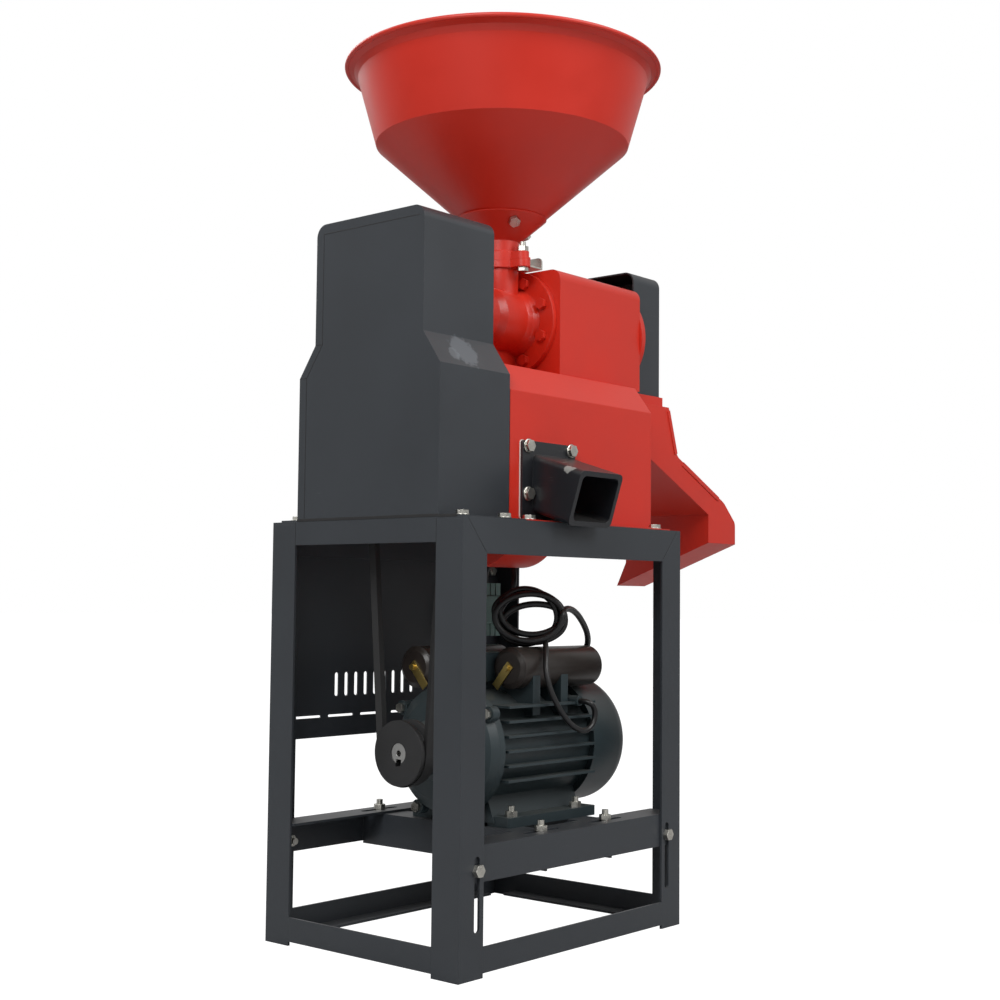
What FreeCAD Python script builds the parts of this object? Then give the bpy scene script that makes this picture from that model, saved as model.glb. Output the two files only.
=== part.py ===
import FreeCAD, Part
import math
import os

# Rice huller on a welded angle-iron stand: hopper, cast feed housing, milling chamber,
# bran box with its blower, belt guard, rice chute and a single-phase motor under the deck.
# Millimetres.  X runs along the shafts from the belt guard to the chute, Y runs from the
# bran-spout side to the operator's panel, Z is up.  The model is laid out from the stand's
# lower corner and moved to its final origin, bottom centre of the whole machine, at export.

V = FreeCAD.Vector
X_AXIS = V(1, 0, 0)
Y_AXIS = V(0, 1, 0)
Z_AXIS = V(0, 0, 1)
TURN = 360.0

# ---- stand -----------------------------------------------------------------------------
STAND_LENGTH = 420.0
STAND_WIDTH = 310.0
STAND_HEIGHT = 500.0
LEG_SIDE = 40.0
RAIL_SIDE = 28.0
ANGLE_WALL = 3.0
RAIL_CLEARANCE = 5.0
LEG_SLOT_INSET = 29.0
LEG_SLOT_LOW = 49.0
LEG_SLOT_HIGH = LEG_SLOT_LOW + 82.0
SLOT_WIDTH = 8.6
BEAM_TOP = 142.0
BEAM_SLOT_LENGTH = 62.0

# ---- sheet metal -----------------------------------------------------------------------
SHEET = 2.0
FOLD_RADIUS = 15.0
FIT_GAP = 0.3

# ---- bran box and spout ----------------------------------------------------------------
BOX_LEFT = 122.0
BOX_RIGHT = STAND_LENGTH - 12.0
BOX_HALF = 114.0
BOX_WALL_TOP = STAND_HEIGHT + 155.0
BOX_TOP = BOX_WALL_TOP + 35.0
BOX_TOP_HALF = BOX_HALF - 26.0
BOX_FLANGE = 30.0
SPOUT_X = 200.0
SPOUT_WIDTH = 82.0
SPOUT_HEIGHT = 66.0
SPOUT_WALL = 6.0
SPOUT_LENGTH = 66.0
SPOUT_PITCH = 17.5
SPOUT_ROOT_Z = STAND_HEIGHT + 47.0
PLATE_WIDTH = SPOUT_WIDTH + 19.0
PLATE_LOW = STAND_HEIGHT + 4.0
PLATE_HIGH = PLATE_LOW + 93.0
PLATE_THICK = 3.0
GASKET_THICK = 1.5

# ---- shafts ----------------------------------------------------------------------------
AXIS_Y = 152.0
SHAFT_Z = BOX_TOP + 74.0
SHAFT_RADIUS = 15.0
RUNNING_GAP = 0.05
MOTOR_SHAFT_RADIUS = 12.0
MOTOR_CENTRE_HEIGHT = 90.0
BLOWER_Y = 112.0
BLOWER_Z = STAND_HEIGHT + 16.0
BLOWER_SHAFT_RADIUS = 8.0

# ---- belt drive ------------------------------------------------------------------------
BELT_TOP = 13.0
BELT_BOTTOM = 8.0
BELT_DEPTH = 8.0
BELT_PROUD = 1.5
GROOVE_GAP = 0.35
MOTOR_PULLEY_RADIUS = 38.5
HULLER_PULLEY_RADIUS = 80.0
FAN_DRIVE_RADIUS = 58.0
FAN_PULLEY_RADIUS = 28.0
PULLEY_WIDTH = 24.0
FAN_PULLEY_WIDTH = 18.0
DRIVE_BELT_X = 72.0
FAN_BELT_X = 99.0

# ---- belt guard ------------------------------------------------------------------------
GUARD_DEPTH = BOX_LEFT - 2.0
GUARD_LOW_HALF = 115.0
GUARD_HIGH_HALF = 88.5
GUARD_SHOULDER_LOW = STAND_HEIGHT + 172.0
GUARD_SHOULDER_HIGH = GUARD_SHOULDER_LOW + 38.0
GUARD_TOP = SHAFT_Z + 91.0
GUARD_FLANGE = 28.0

# ---- blower ----------------------------------------------------------------------------
SCROLL_START_RADIUS = 58.0
SCROLL_GROWTH = 0.0957
IMPELLER_RADIUS = 48.0
IMPELLER_WIDTH = 56.0
IMPELLER_BLADES = 8
BLOWER_INLET_RADIUS = 34.0

# ---- feed housing and milling chamber --------------------------------------------------
HOUSING_RADIUS = 34.0
HOUSING_LEFT = BOX_LEFT + 2.0
FLANGE_X = 260.0
FLANGE_THICK = 8.0
FLANGE_RADIUS = 67.0
FLANGE_BOLT_RADIUS = 53.0
FLANGE_BOLTS = 8
BEARING_RADIUS = 27.5
BEARING_WIDTH = 13.0
FEED_BORE = 24.0
SCREW_ROOT = 15.0
SCREW_PITCH = 34.0
FLIGHT_THICK = 5.0
COVER_LEFT = FLANGE_X + FLANGE_THICK
COVER_RIGHT = BOX_RIGHT + 33.0
ROLLER_RADIUS = 29.0
ROLLER_RIB = 3.5
ROLLER_RIBS = 6
ROLLER_LEFT = COVER_LEFT + 4.0
ROLLER_RIGHT = COVER_RIGHT - 7.0
SCREEN_RADIUS = 38.0
SCREEN_THICK = 1.5
SCREEN_SLOT_LENGTH = 12.0
SCREEN_SLOT_WIDTH = 2.4
SCREEN_ROWS = 7
SCREEN_COLUMNS = 9
BAR_WIDTH = 16.0
COVER_HALF = 72.0
COVER_TOP = SHAFT_Z + 65.0
RING_RADIUS = 76.0
RING_THICK = 8.0
MOUTH_RADIUS = 34.0

# ---- inlet, feed gate and hopper -------------------------------------------------------
INLET_X = FLANGE_X - 24.0
INLET_RADIUS = 15.0
NECK_RADIUS = 23.0
INLET_FLANGE_TOP = SHAFT_Z + 74.0
OVAL_REACH = 46.0
OVAL_BOLT = 36.0
OVAL_THICK = 9.0
OVAL_BODY = 26.0
GATE_THICK = 2.4
GATE_WIDTH = 38.0
GATE_TRAVEL = 32.0
GATE_OVERLAP = 1.0
TAB_HEIGHT = 16.0
GUIDE_THICK = 3.0
COLLAR_FLANGE = 8.0
COLLAR_NECK_TOP = INLET_FLANGE_TOP + 26.0
HOPPER_SHEET = 1.5
HOPPER_THROAT_Z = INLET_FLANGE_TOP + 36.0
HOPPER_SHOULDER_Z = HOPPER_THROAT_Z + 115.0
HOPPER_WALL_TOP = HOPPER_SHOULDER_Z + 85.0
HOPPER_RIM_Z = HOPPER_WALL_TOP + 14.0
HOPPER_MOUTH = 203.0
HOPPER_WALL_RADIUS = 186.0
HOPPER_SHOULDER = 162.0
HOPPER_THROAT = 31.0
COLLAR_RIM = 56.0
COLLAR_BOLTS = 3

# ---- end cover, discharge valve and chute ----------------------------------------------
END_DEPTH = 61.0
END_HALF = 56.0
END_TOP = SHAFT_Z + 94.0
DISCHARGE_HALF = END_HALF + 6.0
DISCHARGE_LOW = BOX_TOP - 14.0
VALVE_RADIUS = 42.0
VALVE_GAP = 3.0
VALVE_THICK = 4.0
VALVE_TRAVEL = 12.0
VALVE_HUB = 24.0
SOCKET_FLOOR = 2.0
ADJUSTER_RADIUS = 6.0
KNOB_RADIUS = 20.0
CHUTE_HALF = 72.0
CHUTE_NECK_RIGHT = COVER_RIGHT + 70.0
CHUTE_KNEE_X = CHUTE_NECK_RIGHT + 21.0
CHUTE_KNEE_Z = BOX_TOP - 80.0
CHUTE_SLOPE_X = CHUTE_KNEE_X + 120.0
CHUTE_SLOPE_Z = CHUTE_KNEE_Z - 58.0
CHUTE_RIGHT = CHUTE_SLOPE_X + 30.0
CHUTE_RIM_Z = CHUTE_SLOPE_Z - 28.0
RAMP_TOP_Z = BOX_TOP - 60.0
TROUGH_LEFT = CHUTE_NECK_RIGHT + 100.0
RAMP_LOW_Z = RAMP_TOP_Z - 97.0
TROUGH_LOW_Z = RAMP_LOW_Z - 40.0
LIP_Y = AXIS_Y + 88.0
LIP_Z = TROUGH_LOW_Z - 61.0

# ---- motor -----------------------------------------------------------------------------
MOTOR_LEFT = 150.0
MOTOR_BARREL = 185.0
STATOR_INSET = 40.0
STATOR_LENGTH = 110.0
MOTOR_RIGHT = MOTOR_LEFT + MOTOR_BARREL
MOTOR_CORE = 72.0
MOTOR_FIN = 80.0
MOTOR_BORE = 66.0
FIN_THICK = 3.0
FIN_STEP = 13.0
FIN_ROW = 17.55
ROTOR_RADIUS = 40.0
SHAFT_END_X = 61.0
SHIELD_HUB = 30.0
SHIELD_BOLT_RADIUS = MOTOR_FIN + 4.0
SHIELD_BOLT_ANGLES = (33.0, 147.0, 240.0, 300.0)
FAN_COVER_RADIUS = MOTOR_FIN + 1.0
FAN_COVER_END = MOTOR_RIGHT + 77.0
FOOT_LEFT = MOTOR_LEFT + 18.0
FOOT_RIGHT = MOTOR_RIGHT + 3.0
FOOT_HALF = 80.0
FOOT_THICK = 12.0
FOOT_BOLT_X = (183.0, 308.0)
FOOT_BOLT_Y = 70.0
BAR_BOLT_SHIFT = 16.5
CAPACITOR_RADIUS = 25.5
CAPACITOR_SIDE = 48.0
CAPACITOR_LENGTH = 162.0
CAPACITOR_LIFT = 97.0
NEAR_CAPACITOR_X = MOTOR_LEFT + 51.0
FAR_CAPACITOR_X = MOTOR_LEFT - 14.0
STRAP_THICK = 1.5
STRAP_WIDTH = 11.0
BOX_START = MOTOR_LEFT + 24.0
BOX_END = BOX_START + 72.0
TERMINAL_BOX_HEIGHT = 35.0
GROMMET_X = 298.0
GROMMET_Y = 68.0
GROMMET_Z = 284.0
GROMMET_RADIUS = 6.5

# ---- operator panel and wiring ---------------------------------------------------------
PANEL_LOW = STAND_HEIGHT - 264.0
PANEL_THICK = 2.0
PANEL_MARGIN = 6.0
VENT_SLOTS = 9
VENT_PITCH = 17.0
BREAKER_X = STAND_LENGTH - 62.0
BREAKER_Z = STAND_HEIGHT - 104.0
BREAKER_WIDTH = 42.0
BREAKER_HEIGHT = 72.0
BREAKER_DEPTH = 44.0
CABLE_RADIUS = 4.0
LEAD_RADIUS = 3.5
COIL_X = 244.0
COIL_Y = 106.0
COIL_HALF_WIDTH = 48.0
COIL_HALF_HEIGHT = 37.0
COIL_BUNDLE = 17.0
COIL_DEPTH = 26.0
COIL_HEADING = 49.5

# ---- fasteners -------------------------------------------------------------------------
BOLT_RADIUS = 4.0
BOLT_HOLE = 4.3
HEAD_FLATS = 13.0
HEAD_HEIGHT = 5.5
NUT_HEIGHT = 6.5
THREAD_TAIL = 6.0

BEAM_FACE = BEAM_TOP - ANGLE_WALL
MOTOR_Z = BEAM_FACE + MOTOR_CENTRE_HEIGHT
BEAM_BOLT_Z = BEAM_TOP - 26.0


# ---- shape helpers ---------------------------------------------------------------------
def block(x0, x1, y0, y1, z0, z1):
    """Rectangular solid between two corners."""
    return Part.makeBox(x1 - x0, y1 - y0, z1 - z0, V(x0, y0, z0))


def rod(base, axis, radius, length):
    """Solid cylinder from base along axis."""
    return Part.makeCylinder(radius, length, base, axis)


def ring(base, axis, outer, inner, length):
    """Tube from base along axis."""
    return rod(base, axis, outer, length).cut(rod(base, axis, inner, length))


def outline(corners):
    """Closed wire through corners; each corner is (point, radius of its rounding)."""
    count = len(corners)
    entries = []
    for index in range(count):
        point, radius = corners[index]
        before = corners[index - 1][0]
        after = corners[(index + 1) % count][0]
        if radius <= 0:
            entries.append((point, point, None))
            continue
        back = (before - point).normalize()
        ahead = (after - point).normalize()
        half = back.getAngle(ahead) / 2.0
        reach = radius / math.tan(half)
        bisector = (back + ahead).normalize()
        middle = point + bisector * (radius / math.sin(half) - radius)
        entries.append((point + back * reach, point + ahead * reach, middle))
    edges = []
    for index in range(count):
        start, end, middle = entries[index]
        if middle is not None:
            edges.append(Part.Arc(start, middle, end).toShape())
        following = entries[(index + 1) % count][0]
        if (following - end).Length > 1e-6:
            edges.append(Part.LineSegment(end, following).toShape())
    return Part.Wire(edges)


def prism(corners, direction):
    """Solid swept from a closed outline along direction."""
    return Part.Face(outline(corners)).extrude(direction)


def plane_x(x, pairs):
    """Corners (y, z, radius) placed in the plane at x."""
    return [(V(x, y, z), r) for y, z, r in pairs]


def plane_y(y, pairs):
    """Corners (x, z, radius) placed in the plane at y."""
    return [(V(x, y, z), r) for x, z, r in pairs]


def plane_z(z, pairs):
    """Corners (x, y, radius) placed in the plane at z."""
    return [(V(x, y, z), r) for x, y, r in pairs]


def slot(centre, along, length, width, normal, depth):
    """Round-ended cutter: length and width in the plane, swept along normal."""
    across = normal.cross(along)
    reach = length / 2.0 - width / 2.0
    half = width / 2.0
    near = centre - along * reach
    far = centre + along * reach
    edges = [
        Part.LineSegment(near + across * half, far + across * half).toShape(),
        Part.Arc(far + across * half, far + along * half, far - across * half).toShape(),
        Part.LineSegment(far - across * half, near - across * half).toShape(),
        Part.Arc(near - across * half, near - along * half, near + across * half).toShape(),
    ]
    return Part.Face(Part.Wire(edges)).extrude(normal * depth)


def revolve_x(centre_y, centre_z, profile):
    """Solid of revolution about an axis along X from (x, radius) points."""
    points = [V(x, centre_y + radius, centre_z) for x, radius in profile]
    wire = Part.makePolygon(points + [points[0]])
    return Part.Face(wire).revolve(V(0, centre_y, centre_z), X_AXIS, TURN)


def fused(shapes):
    """One solid from touching shapes, with needless edges removed."""
    whole = shapes[0].fuse(shapes[1:]) if len(shapes) > 1 else shapes[0]
    return whole.removeSplitter()


def group(shapes):
    """Separate solids kept together in one node."""
    return Part.makeCompound(shapes)


def hexagon(base, axis, flats, height):
    """Hexagonal prism standing on base along axis."""
    corner_radius = flats / math.sqrt(3.0)
    points = []
    for index in range(6):
        angle = math.radians(60.0 * index)
        points.append(V(corner_radius * math.cos(angle), corner_radius * math.sin(angle), 0))
    solid = Part.Face(Part.makePolygon(points + [points[0]])).extrude(V(0, 0, height))
    solid.Placement = FreeCAD.Placement(base, FreeCAD.Rotation(Z_AXIS, axis))
    return solid


def bolt(seat, outward, grip, nut=True, tail=THREAD_TAIL):
    """Hex bolt: head on seat, facing outward, shank through grip, nut behind it."""
    head = hexagon(seat, outward, HEAD_FLATS, HEAD_HEIGHT)
    length = grip + (NUT_HEIGHT + tail if nut else tail)
    shank = rod(seat + outward * 0.5, outward * -1, BOLT_RADIUS, length + 0.5)
    pieces = [head, shank]
    if nut:
        pieces.append(hexagon(seat - outward * grip, outward * -1, HEAD_FLATS, NUT_HEIGHT))
    return fused(pieces)


def polar(angle):
    """Unit vector in the YZ plane at an angle from +Y towards +Z."""
    return V(0, math.cos(math.radians(angle)), math.sin(math.radians(angle)))


def mirrored_y(shape):
    """Copy on the other side of the stand's middle plane."""
    return shape.mirror(V(0, STAND_WIDTH / 2.0, 0), Y_AXIS)


def mirrored_x(shape):
    """Copy at the other end of the stand."""
    return shape.mirror(V(STAND_LENGTH / 2.0, 0, 0), X_AXIS)


# ---- stand -----------------------------------------------------------------------------
def near_left_leg():
    """Angle-iron leg: mitred face with a height slot, plain face across the end."""
    mitre = plane_y(0, [(0, 0, 0), (LEG_SIDE, 0, 0), (LEG_SIDE, STAND_HEIGHT - LEG_SIDE, 0),
                        (0, STAND_HEIGHT, 0)])
    face = prism(mitre, V(0, ANGLE_WALL, 0))
    side_top = STAND_HEIGHT - ANGLE_WALL
    side = block(0, ANGLE_WALL, ANGLE_WALL, LEG_SIDE, 0, side_top)
    middle = V(LEG_SLOT_INSET, 0, (LEG_SLOT_LOW + LEG_SLOT_HIGH) / 2.0)
    cutter = slot(middle, Z_AXIS, LEG_SLOT_HIGH - LEG_SLOT_LOW, SLOT_WIDTH, Y_AXIS, ANGLE_WALL)
    leg = face.fuse(side).cut(cutter)
    corner = prism(mitre, V(0, ANGLE_WALL, 0))
    return leg.common(corner.fuse(block(0, LEG_SIDE, 0, LEG_SIDE, 0, side_top))).removeSplitter()


def leg_posts():
    """Four legs, one at each corner."""
    leg = near_left_leg()
    right = mirrored_x(leg)
    far = []
    for post in (mirrored_y(leg), mirrored_y(right)):
        far.append(post.cut([rod(V(x, STAND_WIDTH - ANGLE_WALL, z), Y_AXIS, BOLT_HOLE,
                                 ANGLE_WALL) for x, z in panel_bolt_places()]))
    return group([leg, right] + far)


def top_rails():
    """Front and back rails of leg section with mitred ends, and two lighter end rails."""
    inner = STAND_HEIGHT - LEG_SIDE
    face = prism(plane_y(0, [(0, STAND_HEIGHT, 0), (LEG_SIDE, inner, 0),
                             (STAND_LENGTH - LEG_SIDE, inner, 0),
                             (STAND_LENGTH, STAND_HEIGHT, 0)]), V(0, ANGLE_WALL, 0))
    shelf = block(0, STAND_LENGTH, ANGLE_WALL, LEG_SIDE, STAND_HEIGHT - ANGLE_WALL,
                  STAND_HEIGHT)
    near = fused([face, shelf])
    bottom = STAND_HEIGHT - RAIL_SIDE
    left = fused([
        block(0, ANGLE_WALL, LEG_SIDE, STAND_WIDTH - LEG_SIDE, bottom, STAND_HEIGHT),
        block(0, RAIL_SIDE, LEG_SIDE, STAND_WIDTH - LEG_SIDE, STAND_HEIGHT - ANGLE_WALL,
              STAND_HEIGHT)])
    holes = [rod(V(x, y, STAND_HEIGHT - ANGLE_WALL), Z_AXIS, BOLT_HOLE, ANGLE_WALL)
             for x, y in deck_bolt_places()]
    far = mirrored_y(near)
    return group([near.cut(holes), far.cut(holes), left, mirrored_x(left)])


def lower_rails():
    """Four light rails near the floor, their shelves turned inwards at the bottom."""
    low = RAIL_CLEARANCE
    high = RAIL_CLEARANCE + RAIL_SIDE
    near = fused([
        block(LEG_SIDE, STAND_LENGTH - LEG_SIDE, 0, ANGLE_WALL, low, high),
        block(LEG_SIDE, STAND_LENGTH - LEG_SIDE, 0, RAIL_SIDE, low, low + ANGLE_WALL)])
    left = fused([
        block(0, ANGLE_WALL, LEG_SIDE, STAND_WIDTH - LEG_SIDE, low, high),
        block(0, RAIL_SIDE, LEG_SIDE, STAND_WIDTH - LEG_SIDE, low, low + ANGLE_WALL)])
    return group([near, mirrored_y(near), left, mirrored_x(left)])


def beam_slot_centres():
    """X places of the adjusting slots in the motor beams."""
    return [x - BAR_BOLT_SHIFT for x in FOOT_BOLT_X]


def near_motor_beam():
    """Slotted angle between the front legs that carries the motor's cross bars."""
    y0 = ANGLE_WALL
    wall = block(ANGLE_WALL, STAND_LENGTH - ANGLE_WALL, y0, y0 + ANGLE_WALL,
                 BEAM_TOP - LEG_SIDE, BEAM_TOP)
    shelf = block(ANGLE_WALL, STAND_LENGTH - ANGLE_WALL, y0, y0 + LEG_SIDE, BEAM_FACE,
                  BEAM_TOP)
    beam = fused([wall, shelf])
    cutters = []
    for x in beam_slot_centres():
        cutters.append(slot(V(x, beam_bolt_y(), BEAM_FACE), X_AXIS, BEAM_SLOT_LENGTH,
                            SLOT_WIDTH, Z_AXIS, ANGLE_WALL))
    for x in (LEG_SLOT_INSET, STAND_LENGTH - LEG_SLOT_INSET):
        cutters.append(rod(V(x, y0, BEAM_BOLT_Z), Y_AXIS, BOLT_HOLE, ANGLE_WALL))
    return beam.cut(cutters)


def beam_bolt_y():
    """Distance of the cross-bar bolts from the stand's face."""
    return ANGLE_WALL + LEG_SIDE / 2.0


def motor_beams():
    """Front and back motor beams."""
    beam = near_motor_beam()
    return group([beam, mirrored_y(beam)])


def motor_cross_bars():
    """Two angle bars under the beams' shelves, on which the motor's feet stand."""
    inner = 2 * ANGLE_WALL
    bars = []
    for foot_x in FOOT_BOLT_X:
        left = foot_x - BAR_BOLT_SHIFT / 2.0 - LEG_SIDE / 2.0
        bar = fused([
            block(left, left + LEG_SIDE, inner, STAND_WIDTH - inner, BEAM_FACE - ANGLE_WALL,
                  BEAM_FACE),
            block(left, left + ANGLE_WALL, inner, STAND_WIDTH - inner,
                  BEAM_FACE - LEG_SIDE, BEAM_FACE)])
        holes = []
        for y in (beam_bolt_y(), STAND_WIDTH - beam_bolt_y()):
            holes.append(rod(V(foot_x - BAR_BOLT_SHIFT, y, BEAM_FACE - ANGLE_WALL), Z_AXIS,
                             BOLT_HOLE, ANGLE_WALL))
        for y in foot_bolt_rows():
            holes.append(rod(V(foot_x, y, BEAM_FACE - ANGLE_WALL), Z_AXIS, BOLT_HOLE,
                             ANGLE_WALL))
        bars.append(bar.cut(holes))
    return group(bars)


def foot_bolt_rows():
    """Y places of the two rows of motor foot bolts."""
    return [AXIS_Y - FOOT_BOLT_Y, AXIS_Y + FOOT_BOLT_Y]


def beam_bolts():
    """Bolts that clamp the beams in the legs' height slots."""
    bolts = []
    for x in (LEG_SLOT_INSET, STAND_LENGTH - LEG_SLOT_INSET):
        bolts.append(bolt(V(x, 0, BEAM_BOLT_Z), Y_AXIS * -1, 2 * ANGLE_WALL))
        bolts.append(bolt(V(x, STAND_WIDTH, BEAM_BOLT_Z), Y_AXIS, 2 * ANGLE_WALL))
    return group(bolts)


def cross_bar_bolts():
    """Bolts through the beams' slots and the cross bars, nuts on top."""
    bolts = []
    for x in beam_slot_centres():
        for y in (beam_bolt_y(), STAND_WIDTH - beam_bolt_y()):
            bolts.append(bolt(V(x, y, BEAM_FACE - ANGLE_WALL), Z_AXIS * -1, 2 * ANGLE_WALL))
    return group(bolts)


def deck_bolt_places():
    """Bolts through the feet of the guard and the bran box into the top rails."""
    near = 18.0
    far = STAND_WIDTH - 25.0
    columns = (18.0, 90.0, 134.0, 388.0)
    return [(x, near) for x in columns] + [(x, far) for x in columns]


def deck_bolts():
    """Bolts that hold guard and bran box on the stand."""
    seat = STAND_HEIGHT + SHEET
    return group([bolt(V(x, y, seat), Z_AXIS, SHEET + ANGLE_WALL)
                  for x, y in deck_bolt_places()])


# ---- belt guard ------------------------------------------------------------------------
def guard_outline(x, inset):
    """Guard profile: wide foot, sloped shoulders, narrower top with rounded corners."""
    low = GUARD_LOW_HALF - inset
    high = GUARD_HIGH_HALF - inset
    top = GUARD_TOP - inset
    corner = FOLD_RADIUS - inset
    shift = inset * 0.3
    return plane_x(x, [(AXIS_Y - low, STAND_HEIGHT, 0), (AXIS_Y + low, STAND_HEIGHT, 0),
                       (AXIS_Y + low, GUARD_SHOULDER_LOW - shift, 0),
                       (AXIS_Y + high, GUARD_SHOULDER_HIGH - shift, 0),
                       (AXIS_Y + high, top, corner), (AXIS_Y - high, top, corner),
                       (AXIS_Y - high, GUARD_SHOULDER_HIGH - shift, 0),
                       (AXIS_Y - low, GUARD_SHOULDER_LOW - shift, 0)])


def deck_holes(z, depth):
    """Cutters for the deck bolts between z and z + depth."""
    return [rod(V(x, y, z), Z_AXIS, BOLT_HOLE, depth) for x, y in deck_bolt_places()]


def belt_guard():
    """Folded guard over both belts: closed outer face, open foot, bolted side flanges."""
    outer = prism(guard_outline(0, 0), V(GUARD_DEPTH, 0, 0))
    hollow = prism(guard_outline(SHEET, SHEET), V(GUARD_DEPTH, 0, 0))
    shell = outer.cut(hollow)
    low = AXIS_Y - GUARD_LOW_HALF
    high = AXIS_Y + GUARD_LOW_HALF
    near = block(0, GUARD_DEPTH - SHEET, low - GUARD_FLANGE, low + SHEET, STAND_HEIGHT,
                 STAND_HEIGHT + SHEET)
    far = block(0, GUARD_DEPTH - SHEET, high - SHEET, high + GUARD_FLANGE, STAND_HEIGHT,
                STAND_HEIGHT + SHEET)
    return fused([shell, near, far]).cut(deck_holes(STAND_HEIGHT, SHEET))


def guard_back_plate():
    """Flat plate that closes the guard towards the machine, with holes for both shafts."""
    plate = prism(guard_outline(GUARD_DEPTH - SHEET, SHEET + FIT_GAP), V(SHEET, 0, 0))
    shaft_hole = rod(V(0, AXIS_Y, SHAFT_Z), X_AXIS, SHAFT_RADIUS + 6.0, BOX_LEFT)
    fan_hole = rod(V(0, BLOWER_Y, BLOWER_Z), X_AXIS, BLOWER_SHAFT_RADIUS + 5.0, BOX_LEFT)
    foot = block(GUARD_DEPTH - 9.0, GUARD_DEPTH, AXIS_Y - 60.0, AXIS_Y + 60.0,
                 STAND_HEIGHT, STAND_HEIGHT + SHEET)
    return fused([plate.cut([shaft_hole, fan_hole]), foot])


# ---- bran box --------------------------------------------------------------------------
def box_outline(x, inset):
    """Bran box profile: upright walls bent in to a narrower top."""
    wall = BOX_HALF - inset
    top = BOX_TOP_HALF - inset
    base = STAND_HEIGHT
    return plane_x(x, [(AXIS_Y - wall, base, 0), (AXIS_Y + wall, base, 0),
                       (AXIS_Y + wall, BOX_WALL_TOP, 3.0), (AXIS_Y + top, BOX_TOP - inset, 3.0),
                       (AXIS_Y - top, BOX_TOP - inset, 3.0), (AXIS_Y - wall, BOX_WALL_TOP, 3.0)])


def spout_direction():
    """Direction in which bran leaves through the spout."""
    pitch = math.radians(SPOUT_PITCH)
    return V(0, -math.cos(pitch), -math.sin(pitch))


def spout_prism(width, height, start, length):
    """Rounded bar along the spout's axis, from start mm behind the plate."""
    direction = spout_direction()
    up = V(0, direction.z, -direction.y)
    base = V(SPOUT_X, spout_root_y(), SPOUT_ROOT_Z) + direction * start
    half_w = width / 2.0
    half_h = height / 2.0
    corners = []
    for sx, sz in ((-1, -1), (1, -1), (1, 1), (-1, 1)):
        corners.append((base + X_AXIS * (sx * half_w) + up * (sz * half_h), 7.0))
    return prism(corners, direction * length)


def spout_root_y():
    """Outer face of the spout's plate."""
    return AXIS_Y - BOX_HALF - GASKET_THICK - PLATE_THICK


def spout_mouth():
    """Centre of the spout's mouth."""
    return V(SPOUT_X, spout_root_y(), SPOUT_ROOT_Z) + spout_direction() * SPOUT_LENGTH


def outlet_bolt_places():
    """X and Z of the plate's three bolts."""
    left = SPOUT_X - 49.5
    right = SPOUT_X + 32.0
    high = PLATE_HIGH - 6.5
    return [(left, high), (right, high), (left, PLATE_LOW + 30.0)]


def bran_box():
    """Folded box under the milling chamber that collects bran and houses the blower."""
    outer = prism(box_outline(BOX_LEFT, 0), V(BOX_RIGHT - BOX_LEFT, 0, 0))
    hollow = prism(box_outline(BOX_LEFT + SHEET, SHEET),
                   V(BOX_RIGHT - BOX_LEFT - 2 * SHEET, 0, 0))
    box = outer.cut(hollow)
    wall = AXIS_Y - BOX_HALF
    near = block(BOX_LEFT, BOX_RIGHT, wall - BOX_FLANGE, wall + SHEET, STAND_HEIGHT,
                 STAND_HEIGHT + SHEET)
    far = block(BOX_LEFT, BOX_RIGHT, AXIS_Y + BOX_HALF - SHEET,
                AXIS_Y + BOX_HALF + BOX_FLANGE, STAND_HEIGHT, STAND_HEIGHT + SHEET)
    box = fused([box, near, far])
    cutters = deck_holes(STAND_HEIGHT, SHEET)
    cutters.append(spout_prism(SPOUT_WIDTH, SPOUT_HEIGHT, -30.0, 45.0))
    cutters.append(block(FLANGE_X + FLANGE_THICK + 10.0, COVER_RIGHT, AXIS_Y - 46.0,
                         AXIS_Y + 46.0, BOX_TOP - SHEET, BOX_TOP))
    cutters.append(rod(V(BOX_LEFT, BLOWER_Y, BLOWER_Z), X_AXIS, BLOWER_SHAFT_RADIUS + 5.0,
                       SHEET))
    for x, z in outlet_bolt_places():
        cutters.append(rod(V(x, wall, z), Y_AXIS, BOLT_HOLE, SHEET))
    return box.cut(cutters)


def bran_slide():
    """Sloped sheet inside the box that leads bran down to the blower's inlet."""
    left = SPOUT_X + SPOUT_WIDTH / 2.0 + 12.0
    right = BOX_RIGHT - SHEET
    return prism(plane_y(AXIS_Y - BOX_HALF + SHEET,
                         [(left, STAND_HEIGHT, 0), (left + 20.0, STAND_HEIGHT, 0),
                          (right, BOX_WALL_TOP - 60.0, 0), (right, BOX_WALL_TOP - 57.0, 0),
                          (left + 19.0, STAND_HEIGHT + 2.4, 0), (left, STAND_HEIGHT + 2.4, 0)]),
                 V(0, 2 * BOX_HALF - 2 * SHEET, 0))


def outlet_gasket():
    """Pale gasket between the box wall and the spout's plate."""
    return outlet_plate_blank(AXIS_Y - BOX_HALF - GASKET_THICK, GASKET_THICK, 0.5)


def outlet_plate_blank(y, thick, margin):
    """Plate shape with its opening and bolt holes, used by the gasket and the spout."""
    left = SPOUT_X + SPOUT_WIDTH / 2.0 - PLATE_WIDTH - margin
    right = SPOUT_X + SPOUT_WIDTH / 2.0 + margin
    plate = prism(plane_y(y, [(left, PLATE_LOW - margin, 4.0), (right, PLATE_LOW - margin, 4.0),
                              (right, PLATE_HIGH + margin, 4.0),
                              (left, PLATE_HIGH + margin, 4.0)]), V(0, thick, 0))
    cutters = [spout_prism(SPOUT_WIDTH - 2 * SPOUT_WALL, SPOUT_HEIGHT - 2 * SPOUT_WALL,
                           -30.0, 60.0)]
    for x, z in outlet_bolt_places():
        cutters.append(rod(V(x, y, z), Y_AXIS, BOLT_HOLE, thick))
    return plate.cut(cutters)


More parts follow.
